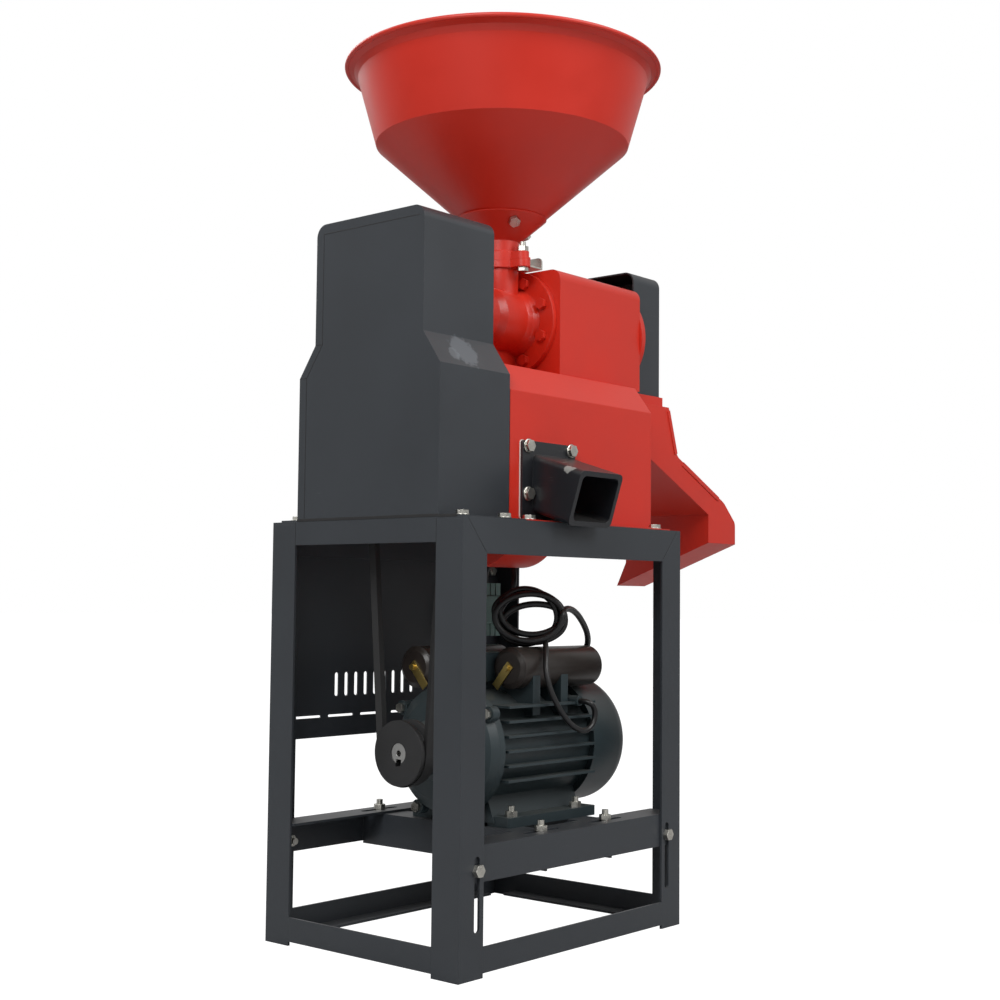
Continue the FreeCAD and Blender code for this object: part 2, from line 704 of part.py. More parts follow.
def outlet_spout():
    """Thick rectangular tube sloping down from its bolted plate."""
    root = spout_root_y()
    tube = spout_prism(SPOUT_WIDTH, SPOUT_HEIGHT, -20.0, SPOUT_LENGTH + 20.0)
    bore = spout_prism(SPOUT_WIDTH - 2 * SPOUT_WALL, SPOUT_HEIGHT - 2 * SPOUT_WALL,
                       -40.0, SPOUT_LENGTH + 60.0)
    front = block(SPOUT_X - 100.0, SPOUT_X + 100.0, root - 200.0, root, 300.0, 700.0)
    tube = tube.common(front).cut(bore)
    return fused([tube, outlet_plate_blank(root, PLATE_THICK, 0)])


def outlet_bolts():
    """Bolts of the spout's plate."""
    grip = PLATE_THICK + GASKET_THICK + SHEET
    return group([bolt(V(x, spout_root_y(), z), Y_AXIS * -1, grip, nut=False, tail=3.0)
                  for x, z in outlet_bolt_places()])


# ---- blower ----------------------------------------------------------------------------
def scroll_radius(angle):
    """Radius of the scroll at an angle in degrees, counted from +Y towards +Z."""
    return SCROLL_START_RADIUS + SCROLL_GROWTH * (angle - 180.0)


def scroll_outline(x, inset):
    """Scroll wall and outlet duct of the blower in the plane at x."""
    last = 450.0 + SPOUT_PITCH
    steps = 12
    points = []
    for index in range(steps + 1):
        angle = 180.0 + (last - 180.0) * index / steps
        points.append(V(x, BLOWER_Y, BLOWER_Z) + polar(angle) * (scroll_radius(angle) - inset))
    curve = Part.BSplineCurve()
    curve.interpolate(points)
    end_y = AXIS_Y - BOX_HALF + SHEET
    fall = math.tan(math.radians(SPOUT_PITCH))
    high = V(x, end_y, points[-1].z - (points[-1].y - end_y) * fall)
    low = V(x, end_y, points[0].z - (points[0].y - end_y) * fall)
    edges = [curve.toShape(), Part.LineSegment(points[-1], high).toShape(),
             Part.LineSegment(high, low).toShape(), Part.LineSegment(low, points[0]).toShape()]
    return Part.Face(Part.Wire(edges))


def blower_housing():
    """Snail-shaped blower casing whose duct leads to the spout."""
    left = SPOUT_X - SPOUT_WIDTH / 2.0
    right = SPOUT_X + SPOUT_WIDTH / 2.0
    outer = scroll_outline(left, 0).extrude(V(right - left, 0, 0))
    hollow = scroll_outline(left + SHEET, SHEET).extrude(V(right - left - 2 * SHEET, 0, 0))
    end_y = AXIS_Y - BOX_HALF + SHEET
    mouth = spout_prism(SPOUT_WIDTH - 2 * SPOUT_WALL, SPOUT_HEIGHT - 2 * SPOUT_WALL,
                        -30.0, 60.0).common(
        block(left, right, end_y - 1.0, end_y + 2 * SHEET, PLATE_LOW, PLATE_HIGH))
    inlet = rod(V(right - SHEET, BLOWER_Y, BLOWER_Z), X_AXIS, BLOWER_INLET_RADIUS, SHEET)
    boss_hole = rod(V(left, BLOWER_Y, BLOWER_Z), X_AXIS, BLOWER_SHAFT_RADIUS + 1.0, SHEET)
    return outer.cut([hollow, mouth, inlet, boss_hole])


def blower_bearing():
    """Flanged bearing that carries the blower's shaft between box wall and casing."""
    left = BOX_LEFT + SHEET
    right = SPOUT_X - SPOUT_WIDTH / 2.0
    flange = rod(V(left, BLOWER_Y, BLOWER_Z), X_AXIS, 30.0, 5.0)
    barrel = rod(V(left, BLOWER_Y, BLOWER_Z), X_AXIS, 19.0, right - left)
    bore = rod(V(left, BLOWER_Y, BLOWER_Z), X_AXIS, BLOWER_SHAFT_RADIUS + RUNNING_GAP,
               right - left)
    return fused([flange, barrel]).cut(bore)


def blower_shaft():
    """Stepped shaft of the blower from its pulley to the impeller."""
    left = FAN_BELT_X - FAN_PULLEY_WIDTH / 2.0 - 2.0
    right = impeller_left() + IMPELLER_WIDTH
    return rod(V(left, BLOWER_Y, BLOWER_Z), X_AXIS, BLOWER_SHAFT_RADIUS, right - left)


def impeller_left():
    """Left end of the impeller inside its casing."""
    return SPOUT_X - IMPELLER_WIDTH / 2.0


def blower_impeller():
    """Paddle wheel: hub, back disc and flat blades."""
    x = impeller_left()
    hub = rod(V(x, BLOWER_Y, BLOWER_Z), X_AXIS, 16.0, IMPELLER_WIDTH)
    disc = rod(V(x, BLOWER_Y, BLOWER_Z), X_AXIS, IMPELLER_RADIUS - 4.0, SHEET)
    pieces = [hub, disc]
    for index in range(IMPELLER_BLADES):
        blade = block(x, x + IMPELLER_WIDTH, BLOWER_Y + 12.0, BLOWER_Y + IMPELLER_RADIUS,
                      BLOWER_Z - 1.0, BLOWER_Z + 1.0)
        blade.rotate(V(0, BLOWER_Y, BLOWER_Z), X_AXIS, index * TURN / IMPELLER_BLADES)
        pieces.append(blade)
    bore = rod(V(x, BLOWER_Y, BLOWER_Z), X_AXIS, BLOWER_SHAFT_RADIUS, IMPELLER_WIDTH)
    return fused(pieces).cut(bore)


# ---- pulleys and belts -----------------------------------------------------------------
def pulley(x, centre_y, centre_z, radius, width, bore, hub):
    """Single-groove V pulley centred on x, with a hub as wide as the rim."""
    half = width / 2.0
    top = BELT_TOP / 2.0 + GROOVE_GAP
    bottom = BELT_BOTTOM / 2.0 + GROOVE_GAP
    root = radius + BELT_PROUD - BELT_DEPTH - 1.0
    slope = (top - bottom) / BELT_DEPTH
    mouth = top - slope * BELT_PROUD
    web = root - 9.0
    profile = [(x - half, bore), (x + half, bore), (x + half, hub)]
    dished = web > hub + 8.0
    if dished:
        profile += [(x + 4.0, hub + 2.0), (x + 4.0, web), (x + half, web + 3.0)]
    profile += [(x + half, radius), (x + mouth, radius), (x + bottom, root),
                (x - bottom, root), (x - mouth, radius), (x - half, radius)]
    if dished:
        profile += [(x - half, web + 3.0), (x - 4.0, web), (x - 4.0, hub + 2.0)]
    profile += [(x - half, hub)]
    return revolve_x(centre_y, centre_z, profile)


def belt(x, low, low_radius, high, high_radius):
    """V belt round two pulleys; low and high are (y, z) of their centres."""
    inner_low = low_radius + BELT_PROUD - BELT_DEPTH
    inner_high = high_radius + BELT_PROUD - BELT_DEPTH
    dy = high[0] - low[0]
    dz = high[1] - low[1]
    span = math.hypot(dy, dz)
    heading = math.degrees(math.atan2(dz, dy))
    lean = math.degrees(math.asin((inner_high - inner_low) / span))
    straight = math.sqrt(span ** 2 - (inner_high - inner_low) ** 2)

    def section(centre, radius, angle):
        out = polar(angle)
        start = V(x, centre[0], centre[1])
        inner = start + out * radius
        outer = start + out * (radius + BELT_DEPTH)
        half_in = X_AXIS * (BELT_BOTTOM / 2.0)
        half_out = X_AXIS * (BELT_TOP / 2.0)
        points = [inner - half_in, inner + half_in, outer + half_out, outer - half_out]
        return Part.Face(Part.makePolygon(points + [points[0]]))

    left_angle = heading + 90.0 + lean
    right_angle = heading - 90.0 - lean
    left_run = section(low, inner_low, left_angle).extrude(polar(left_angle - 90.0) * straight)
    right_run = section(low, inner_low, right_angle).extrude(
        polar(right_angle + 90.0) * straight)
    low_arc = section(low, inner_low, left_angle).revolve(
        V(x, low[0], low[1]), X_AXIS, TURN - (left_angle - right_angle))
    high_arc = section(high, inner_high, right_angle).revolve(
        V(x, high[0], high[1]), X_AXIS, left_angle - right_angle)
    return fused([left_run, right_run, low_arc, high_arc])


def drive_belt():
    """Belt from the motor up to the huller's main pulley."""
    return belt(DRIVE_BELT_X, (AXIS_Y, MOTOR_Z), MOTOR_PULLEY_RADIUS, (AXIS_Y, SHAFT_Z),
                HULLER_PULLEY_RADIUS)


def fan_belt():
    """Shorter belt from the main shaft down to the blower."""
    return belt(FAN_BELT_X, (BLOWER_Y, BLOWER_Z), FAN_PULLEY_RADIUS, (AXIS_Y, SHAFT_Z),
                FAN_DRIVE_RADIUS)


def huller_pulley():
    """Large pulley of the main shaft."""
    return pulley(DRIVE_BELT_X, AXIS_Y, SHAFT_Z, HULLER_PULLEY_RADIUS, PULLEY_WIDTH,
                  SHAFT_RADIUS, 26.0)


def fan_drive_pulley():
    """Second pulley of the main shaft, for the blower's belt."""
    return pulley(FAN_BELT_X, AXIS_Y, SHAFT_Z, FAN_DRIVE_RADIUS, FAN_PULLEY_WIDTH,
                  SHAFT_RADIUS, 26.0)


def blower_pulley():
    """Small pulley of the blower's shaft."""
    return pulley(FAN_BELT_X, BLOWER_Y, BLOWER_Z, FAN_PULLEY_RADIUS, FAN_PULLEY_WIDTH,
                  BLOWER_SHAFT_RADIUS, 17.0)


def motor_pulley():
    """Small pulley on the motor's shaft, with a keyway."""
    wheel = pulley(DRIVE_BELT_X, AXIS_Y, MOTOR_Z, MOTOR_PULLEY_RADIUS, PULLEY_WIDTH,
                   MOTOR_SHAFT_RADIUS, 24.0)
    half = PULLEY_WIDTH / 2.0
    key = block(DRIVE_BELT_X - half, DRIVE_BELT_X + half, AXIS_Y - 4.0, AXIS_Y + 4.0,
                MOTOR_Z - MOTOR_SHAFT_RADIUS - 3.0, MOTOR_Z)
    return wheel.cut(key)


# ---- feed housing ----------------------------------------------------------------------
def oval(z, height, reach, lobe):
    """Two-lobed flange plate across the inlet, lobes along Y."""
    body = rod(V(INLET_X, AXIS_Y, z), Z_AXIS, OVAL_BODY, height)
    ear = slot(V(INLET_X, AXIS_Y, z), Y_AXIS, 2 * reach, 2 * lobe, Z_AXIS, height)
    return fused([body, ear])


def oval_bolt_places():
    """Y places of the two inlet flange bolts."""
    return [AXIS_Y - OVAL_BOLT, AXIS_Y + OVAL_BOLT]


def oval_holes(z, height):
    """Cutters for the inlet flange bolts and the inlet itself."""
    cutters = [rod(V(INLET_X, y, z), Z_AXIS, BOLT_HOLE, height) for y in oval_bolt_places()]
    cutters.append(rod(V(INLET_X, AXIS_Y, z), Z_AXIS, INLET_RADIUS, height))
    return cutters


def feed_housing():
    """Casting with the bearing seats, feed barrel, inlet neck, foot and chamber flange."""
    centre = V(HOUSING_LEFT, AXIS_Y, SHAFT_Z)
    barrel = rod(centre, X_AXIS, HOUSING_RADIUS, FLANGE_X + 2.0 - HOUSING_LEFT)
    belly = revolve_x(AXIS_Y, SHAFT_Z, [(196.0, 20.0), (196.0, HOUSING_RADIUS), (206.0, 39.0),
                                        (244.0, 39.0), (252.0, 41.0), (FLANGE_X, 44.5),
                                        (FLANGE_X, 20.0)])
    nose = rod(V(HOUSING_LEFT - 2.0, AXIS_Y, SHAFT_Z), X_AXIS, HOUSING_RADIUS + 5.0, 16.0)
    flange = rod(V(FLANGE_X, AXIS_Y, SHAFT_Z), X_AXIS, FLANGE_RADIUS, FLANGE_THICK)
    neck = rod(V(INLET_X, AXIS_Y, SHAFT_Z), Z_AXIS, NECK_RADIUS - 0.5,
               INLET_FLANGE_TOP - OVAL_THICK - SHAFT_Z)
    top = oval(INLET_FLANGE_TOP - OVAL_THICK, OVAL_THICK, OVAL_REACH, OVAL_REACH - OVAL_BOLT)
    spine = block(150.0, FLANGE_X, AXIS_Y - 6.0, AXIS_Y + 6.0, BOX_TOP + 8.0,
                  SHAFT_Z - 25.0)
    foot = block(BOX_LEFT + 8.0, FLANGE_X, AXIS_Y - 46.0, AXIS_Y + 46.0, BOX_TOP,
                 BOX_TOP + 9.0)
    web = prism(plane_x(BOX_LEFT + 12.0, [(AXIS_Y - 40.0, BOX_TOP + 8.0, 0),
                                          (AXIS_Y + 40.0, BOX_TOP + 8.0, 0),
                                          (AXIS_Y + 22.0, SHAFT_Z - 20.0, 0),
                                          (AXIS_Y - 22.0, SHAFT_Z - 20.0, 0)]), V(10, 0, 0))
    casting = fused([barrel, belly, nose, flange, neck, top, spine, foot, web])
    seat = rod(V(HOUSING_LEFT - 2.0, AXIS_Y, SHAFT_Z), X_AXIS, BEARING_RADIUS,
               2 * BEARING_WIDTH + 10.0)
    throat = rod(V(HOUSING_LEFT, AXIS_Y, SHAFT_Z), X_AXIS, SHAFT_RADIUS + 1.0, 60.0)
    feed = rod(V(feed_left(), AXIS_Y, SHAFT_Z), X_AXIS, FEED_BORE,
               FLANGE_X + FLANGE_THICK - feed_left())
    cutters = [seat, throat, feed,
               rod(V(INLET_X, AXIS_Y, SHAFT_Z), Z_AXIS, INLET_RADIUS, 200.0)]
    cutters += oval_holes(INLET_FLANGE_TOP - OVAL_THICK - 2.0, OVAL_THICK + 2.0)
    for index in range(FLANGE_BOLTS):
        spot = flange_bolt_place(FLANGE_X - 3.0, index)
        cutters.append(rod(spot, X_AXIS, BOLT_HOLE, FLANGE_THICK + 3.0))
    return casting.cut(cutters)


def feed_left():
    """Where the feed barrel's wide bore begins."""
    return HOUSING_LEFT + 2 * BEARING_WIDTH + 20.0


def flange_bolt_place(x, index):
    """Point on the chamber flange's bolt circle."""
    angle = TURN / FLANGE_BOLTS * (index + 0.5)
    return V(x, AXIS_Y, SHAFT_Z) + polar(angle) * FLANGE_BOLT_RADIUS


def flange_bolts():
    """Bolts round the chamber flange, threaded into the chamber's end plate."""
    bolts = []
    for index in range(FLANGE_BOLTS):
        seat = flange_bolt_place(FLANGE_X, index)
        bolts.append(bolt(seat, X_AXIS * -1, FLANGE_THICK + SHEET, nut=False, tail=4.0))
    return group(bolts)


def shaft_bearings():
    """Two ball bearings of the main shaft, side by side in the casting."""
    bearings = []
    for index in range(2):
        x = HOUSING_LEFT + index * (BEARING_WIDTH + 6.0)
        bearings.append(ring(V(x, AXIS_Y, SHAFT_Z), X_AXIS, BEARING_RADIUS - 0.02,
                             SHAFT_RADIUS + RUNNING_GAP, BEARING_WIDTH))
    return group(bearings)


def main_shaft():
    """Main shaft with a collar at the pulleys and a nut at the roller's end."""
    left = DRIVE_BELT_X - PULLEY_WIDTH / 2.0 - 12.0
    body = rod(V(left, AXIS_Y, SHAFT_Z), X_AXIS, SHAFT_RADIUS, ROLLER_RIGHT - left)
    nut = hexagon(V(left - 2.0, AXIS_Y, SHAFT_Z), X_AXIS, 41.0, 12.0)
    end_nut = hexagon(V(ROLLER_RIGHT, AXIS_Y, SHAFT_Z), X_AXIS, 32.0, 8.0)
    return fused([body, nut, end_nut])


def feed_screw():
    """Cast feed screw: one helical flight on its sleeve."""
    left = feed_left() + 4.0
    length = ROLLER_LEFT - left - 1.0
    sleeve = rod(V(left, AXIS_Y, SHAFT_Z), X_AXIS, SCREW_ROOT + 3.0, length)
    turns = (length - FLIGHT_THICK) / SCREW_PITCH
    path = Part.makeHelix(SCREW_PITCH, turns * SCREW_PITCH, SCREW_ROOT + 2.0)
    outer = FEED_BORE - 1.0
    inner = SCREW_ROOT + 2.0
    points = [V(inner, 0, -FLIGHT_THICK / 2), V(outer, 0, -FLIGHT_THICK / 2 + 1.0),
              V(outer, 0, FLIGHT_THICK / 2 - 1.0), V(inner, 0, FLIGHT_THICK / 2)]
    profile = Part.makePolygon(points + [points[0]])
    sweep = Part.BRepOffsetAPI.MakePipeShell(Part.Wire(path.Edges))
    sweep.setFrenetMode(True)
    sweep.add(profile)
    sweep.build()
    sweep.makeSolid()
    flight = sweep.shape()
    flight.rotate(V(0, 0, 0), Y_AXIS, 90.0)
    flight.translate(V(left + FLIGHT_THICK / 2, AXIS_Y, SHAFT_Z))
    bore = rod(V(left - 5.0, AXIS_Y, SHAFT_Z), X_AXIS, SHAFT_RADIUS, length + 10.0)
    return fused([sleeve, flight]).cut(bore)


def hulling_roller():
    """Ribbed iron roller that rubs the husk off."""
    core = rod(V(ROLLER_LEFT, AXIS_Y, SHAFT_Z), X_AXIS, ROLLER_RADIUS,
               ROLLER_RIGHT - ROLLER_LEFT)
    pieces = [core]
    for index in range(ROLLER_RIBS):
        rib = prism(plane_x(ROLLER_LEFT, [
            (AXIS_Y - 4.0, SHAFT_Z + ROLLER_RADIUS - 2.0, 0),
            (AXIS_Y + 4.0, SHAFT_Z + ROLLER_RADIUS - 2.0, 0),
            (AXIS_Y + 2.0, SHAFT_Z + ROLLER_RADIUS + ROLLER_RIB, 0),
            (AXIS_Y - 3.0, SHAFT_Z + ROLLER_RADIUS + ROLLER_RIB, 0)]),
            V(ROLLER_RIGHT - ROLLER_LEFT, 0, 0))
        rib.rotate(V(0, AXIS_Y, SHAFT_Z), X_AXIS, index * TURN / ROLLER_RIBS)
        pieces.append(rib)
    bore = rod(V(ROLLER_LEFT, AXIS_Y, SHAFT_Z), X_AXIS, SHAFT_RADIUS,
               ROLLER_RIGHT - ROLLER_LEFT)
    return fused(pieces).cut(bore)


# ---- milling chamber -------------------------------------------------------------------
def screen_half(sign):
    """Half of the slotted screen, sign +1 above the axis and -1 below it."""
    left = FLANGE_X + FLANGE_THICK
    length = COVER_RIGHT - left
    tube = ring(V(left, AXIS_Y, SHAFT_Z), X_AXIS, SCREEN_RADIUS + SCREEN_THICK, SCREEN_RADIUS,
                length)
    reach = SCREEN_RADIUS + 10.0
    gap = BAR_WIDTH / 2.0
    if sign > 0:
        keep = block(left, left + length, AXIS_Y - reach, AXIS_Y + reach, SHAFT_Z + gap,
                     SHAFT_Z + reach)
    else:
        keep = block(left, left + length, AXIS_Y - reach, AXIS_Y + reach, SHAFT_Z - reach,
                     SHAFT_Z - gap)
    half = tube.common(keep)
    if sign > 0:
        return half
    cutters = []
    pitch = (length - 24.0) / SCREEN_COLUMNS
    for column in range(SCREEN_COLUMNS):
        x = left + 12.0 + pitch * (column + 0.5)
        for row in range(SCREEN_ROWS):
            angle = 270.0 + (row - (SCREEN_ROWS - 1) / 2.0) * 20.0
            cutter = block(x - SCREEN_SLOT_LENGTH / 2.0, x + SCREEN_SLOT_LENGTH / 2.0,
                           AXIS_Y + SCREEN_RADIUS - 3.0, AXIS_Y + SCREEN_RADIUS + 5.0,
                           SHAFT_Z - SCREEN_SLOT_WIDTH / 2.0, SHAFT_Z + SCREEN_SLOT_WIDTH / 2.0)
            cutter.rotate(V(0, AXIS_Y, SHAFT_Z), X_AXIS, angle)
            cutters.append(cutter)
    return half.cut(cutters)


def lower_screen():
    """Slotted screen under the roller through which bran falls."""
    return screen_half(-1)


def upper_shell():
    """Plain half shell over the roller."""
    return screen_half(1)


def screen_bars():
    """Clamp bar on the near side that holds both screen halves."""
    return side_bar(-1, 0.0)


def side_bar(side, reach_in):
    """Bar along the chamber between the two halves; reach_in goes towards the roller."""
    inner = SCREEN_RADIUS - reach_in
    outer = SCREEN_RADIUS + 14.0
    half = BAR_WIDTH / 2.0
    left = FLANGE_X + FLANGE_THICK
    if side > 0:
        y0 = AXIS_Y + inner
        y1 = AXIS_Y + outer
    else:
        y0 = AXIS_Y - outer
        y1 = AXIS_Y - inner
    return block(left, COVER_RIGHT, y0, y1, SHAFT_Z - half, SHAFT_Z + half)


def hulling_blade():
    """Adjustable steel blade on the far side that works against the roller."""
    return side_bar(1, 3.0)


def cover_outline(x, inset):
    """Chamber cover profile with rounded shoulders and an open foot."""
    half = COVER_HALF - inset
    corner = FOLD_RADIUS - inset
    return plane_x(x, [(AXIS_Y - half, BOX_TOP, 0), (AXIS_Y + half, BOX_TOP, 0),
                       (AXIS_Y + half, COVER_TOP - inset, corner),
                       (AXIS_Y - half, COVER_TOP - inset, corner)])


def chamber_cover():
    """Sheet hood over the milling chamber, closed at both ends round the shaft."""
    length = COVER_RIGHT - COVER_LEFT
    outer = prism(cover_outline(COVER_LEFT, 0), V(length, 0, 0))
    hollow = prism(cover_outline(COVER_LEFT + SHEET, SHEET), V(length - 2 * SHEET, 0, 0))
    opening = rod(V(COVER_LEFT, AXIS_Y, SHAFT_Z), X_AXIS, FLANGE_BOLT_RADIUS + 7.0, length)
    hood = outer.cut([hollow, opening])
    return hood


def chamber_ends():
    """End plates inside the hood that seat the screen and take the flange's bolts."""
    left = ring(V(COVER_LEFT, AXIS_Y, SHAFT_Z), X_AXIS, FLANGE_BOLT_RADIUS + 6.7,
                SCREEN_RADIUS + SCREEN_THICK + 0.3, 10.0)
    holes = []
    for index in range(FLANGE_BOLTS):
        holes.append(rod(flange_bolt_place(COVER_LEFT, index), X_AXIS, BOLT_RADIUS + 0.05, 8.0))
    bars = [block(COVER_LEFT, COVER_RIGHT, AXIS_Y - SCREEN_RADIUS - 14.3, AXIS_Y - 20.0,
                  SHAFT_Z - BAR_WIDTH / 2.0 - 0.3, SHAFT_Z + BAR_WIDTH / 2.0 + 0.3),
            block(COVER_LEFT, COVER_RIGHT, AXIS_Y + 20.0, AXIS_Y + SCREEN_RADIUS + 14.3,
                  SHAFT_Z - BAR_WIDTH / 2.0 - 0.3, SHAFT_Z + BAR_WIDTH / 2.0 + 0.3)]
    right = ring(V(COVER_RIGHT - 8.0, AXIS_Y, SHAFT_Z), X_AXIS, FLANGE_BOLT_RADIUS + 6.7,
                 SCREEN_RADIUS + SCREEN_THICK + 0.3, 8.0)
    return group([left.cut(holes + bars), right.cut(bars)])


def outlet_ring():
    """Cast ring at the chamber's end whose bore is the rice's way out."""
    return ring(V(COVER_RIGHT, AXIS_Y, SHAFT_Z), X_AXIS, RING_RADIUS, MOUTH_RADIUS,
                RING_THICK)


# ---- inlet and hopper ------------------------------------------------------------------
def gate_low():
    """Underside of the feed gate."""
    return INLET_FLANGE_TOP + (GUIDE_THICK - GATE_THICK) / 2.0


def gate_guide():
    """Spacer between the inlet flanges with the slot in which the gate slides."""
    plate = oval(INLET_FLANGE_TOP, GUIDE_THICK, OVAL_REACH, OVAL_REACH - OVAL_BOLT)
    half = GATE_WIDTH / 2.0 + FIT_GAP
    track = block(INLET_X - INLET_RADIUS - 2.0 * GATE_OVERLAP, INLET_X + OVAL_BODY,
                  AXIS_Y - half, AXIS_Y + half, INLET_FLANGE_TOP,
                  INLET_FLANGE_TOP + GUIDE_THICK)
    return plate.cut([track] + oval_holes(INLET_FLANGE_TOP, GUIDE_THICK))


def feed_gate():
    """Flat gate with a turned-up tab, drawn out of the inlet when open."""
    front = INLET_X + INLET_RADIUS + GATE_OVERLAP
    back = INLET_X + OVAL_BODY + GATE_TRAVEL + GATE_THICK + 2 * FIT_GAP
    half = GATE_WIDTH / 2.0
    low = gate_low()
    plate = prism(plane_z(low, [(front, AXIS_Y - half, 3.0), (back, AXIS_Y - half, 0),
                                (back, AXIS_Y + half, 0), (front, AXIS_Y + half, 3.0)]),
                  V(0, 0, GATE_THICK))
    tab = prism(plane_x(back - GATE_THICK, [(AXIS_Y - half, low, 0), (AXIS_Y + half, low, 0),
                                            (AXIS_Y + half, low + TAB_HEIGHT, 6.0),
                                            (AXIS_Y - half, low + TAB_HEIGHT, 6.0)]),
                V(GATE_THICK, 0, 0))
    return fused([plate, tab])


def hopper_outer():
    """Radius and height pairs of the hopper's outside, from throat to rim."""
    return [(HOPPER_THROAT, HOPPER_THROAT_Z), (HOPPER_SHOULDER, HOPPER_SHOULDER_Z),
            (HOPPER_WALL_RADIUS, HOPPER_WALL_TOP)]


def revolve_z(profile):
    """Solid of revolution about the inlet's upright axis from (radius, z) points."""
    points = [V(INLET_X + radius, AXIS_Y, z) for radius, z in profile]
    wire = Part.makePolygon(points + [points[0]])
    return Part.Face(wire).revolve(V(INLET_X, AXIS_Y, 0), Z_AXIS, TURN)


def hopper():
    """Spun hopper: cone, steeper wall, flared brim and rolled bead."""
    t = HOPPER_SHEET
    outside = hopper_outer() + [(HOPPER_WALL_RADIUS + 5.0, HOPPER_RIM_Z - 7.0),
                                (HOPPER_MOUTH - 3.0, HOPPER_RIM_Z - 2.0)]
    inside = [(HOPPER_MOUTH - 3.0, HOPPER_RIM_Z - 2.0 + t),
              (HOPPER_WALL_RADIUS + 4.0, HOPPER_RIM_Z - 7.0 + t),
              (HOPPER_WALL_RADIUS - t, HOPPER_WALL_TOP + t),
              (HOPPER_SHOULDER - t, HOPPER_SHOULDER_Z + t),
              (HOPPER_THROAT - t * 1.2, HOPPER_THROAT_Z)]
    shell = revolve_z(outside + inside)
    bead = Part.makeTorus(HOPPER_MOUTH - 3.0, 3.0, V(INLET_X, AXIS_Y, HOPPER_RIM_Z - 1.0),
                          Z_AXIS)
    holes = [rod(collar_bolt_place(index) - collar_bolt_normal(index) * 10.0,
                 collar_bolt_normal(index), BOLT_HOLE, 20.0) for index in range(COLLAR_BOLTS)]
    return fused([shell, bead]).cut(holes)


def cone_slope():
    """Rise of the hopper's cone for each millimetre of radius."""
    return ((HOPPER_SHOULDER_Z - HOPPER_THROAT_Z) / (HOPPER_SHOULDER - HOPPER_THROAT))


def cone_height(radius):
    """Height of the hopper cone's outside at a radius."""
    return HOPPER_THROAT_Z + (radius - HOPPER_THROAT) * cone_slope()


def hopper_collar():
    """Cone and neck that carry the hopper on the inlet."""
    t = SHEET
    drop = 0.4
    rim_z = cone_height(COLLAR_RIM) - drop
    low_z = cone_height(NECK_RADIUS) - drop
    shell = revolve_z([(NECK_RADIUS - t, collar_base()), (NECK_RADIUS, collar_base()),
                       (NECK_RADIUS, low_z - t), (COLLAR_RIM, rim_z - t * 1.4),
                       (COLLAR_RIM + 2.0, rim_z - 1.0), (COLLAR_RIM + 1.0, rim_z),
                       (COLLAR_RIM - 1.0, rim_z - 1.0 * cone_slope()),
                       (NECK_RADIUS - t, low_z - t * cone_slope())])
    base = oval(collar_base(), COLLAR_FLANGE, OVAL_REACH - 2.0, OVAL_REACH - OVAL_BOLT - 1.0)
    bore = rod(V(INLET_X, AXIS_Y, collar_base()), Z_AXIS, NECK_RADIUS - t, COLLAR_FLANGE)
    holes = [rod(V(INLET_X, y, collar_base()), Z_AXIS, BOLT_HOLE, COLLAR_FLANGE)
             for y in oval_bolt_places()]
    holes += [rod(collar_bolt_place(index) - collar_bolt_normal(index) * 10.0,
                  collar_bolt_normal(index), BOLT_HOLE, 20.0) for index in range(COLLAR_BOLTS)]
    return fused([shell, base.cut(bore)]).cut(holes)


def collar_base():
    """Underside of the collar's flange."""
    return INLET_FLANGE_TOP + GUIDE_THICK


def collar_bolt_normal(index):
    """Outward direction of a collar bolt, square to the cone."""
    angle = math.radians(240.5 + TURN / COLLAR_BOLTS * index)
    slope = cone_slope()
    size = math.hypot(1.0, slope)
    return V(math.cos(angle) * slope / size, math.sin(angle) * slope / size, -1.0 / size)


def collar_bolt_place(index):
    """Point on the hopper's outside where a collar bolt passes."""
    angle = math.radians(240.5 + TURN / COLLAR_BOLTS * index)
    radius = COLLAR_RIM - 11.0
    return V(INLET_X + radius * math.cos(angle), AXIS_Y + radius * math.sin(angle),
             cone_height(radius))


def collar_bolts():
    """Bolts that join hopper and collar, heads outside."""
    bolts = []
    for index in range(COLLAR_BOLTS):
        normal = collar_bolt_normal(index)
        seat = collar_bolt_place(index) + normal * (SHEET + 0.8)
        bolts.append(bolt(seat, normal, SHEET + HOPPER_SHEET + 1.4, nut=True, tail=2.0))
    return group(bolts)


def inlet_bolts():
    """Two bolts through the inlet flanges, nuts on top."""
    grip = OVAL_THICK + GUIDE_THICK + COLLAR_FLANGE
    low = INLET_FLANGE_TOP - OVAL_THICK
    return group([bolt(V(INLET_X, y, low), Z_AXIS * -1, grip) for y in oval_bolt_places()])


# ---- end cover and discharge valve -----------------------------------------------------
def end_left():
    """Face of the outlet ring on which the end cover stands."""
    return COVER_RIGHT + RING_THICK


def end_cover():
    """Dark hood over the rice outlet, open towards the chamber and downwards."""
    left = end_left()

    def profile(x, inset):
        half = END_HALF - inset
        return plane_x(x, [(AXIS_Y - half, BOX_TOP, 0), (AXIS_Y + half, BOX_TOP, 0),
                           (AXIS_Y + half, END_TOP - inset, FOLD_RADIUS - inset),
                           (AXIS_Y - half, END_TOP - inset, FOLD_RADIUS - inset)])
    outer = prism(profile(left, 0), V(END_DEPTH, 0, 0))
    hollow = prism(profile(left, SHEET), V(END_DEPTH - SHEET, 0, 0))
    hole = rod(V(left, AXIS_Y, SHAFT_Z), X_AXIS, 12.0, END_DEPTH + 5.0)
    return group([outer.cut([hollow, hole]), adjuster_boss()])


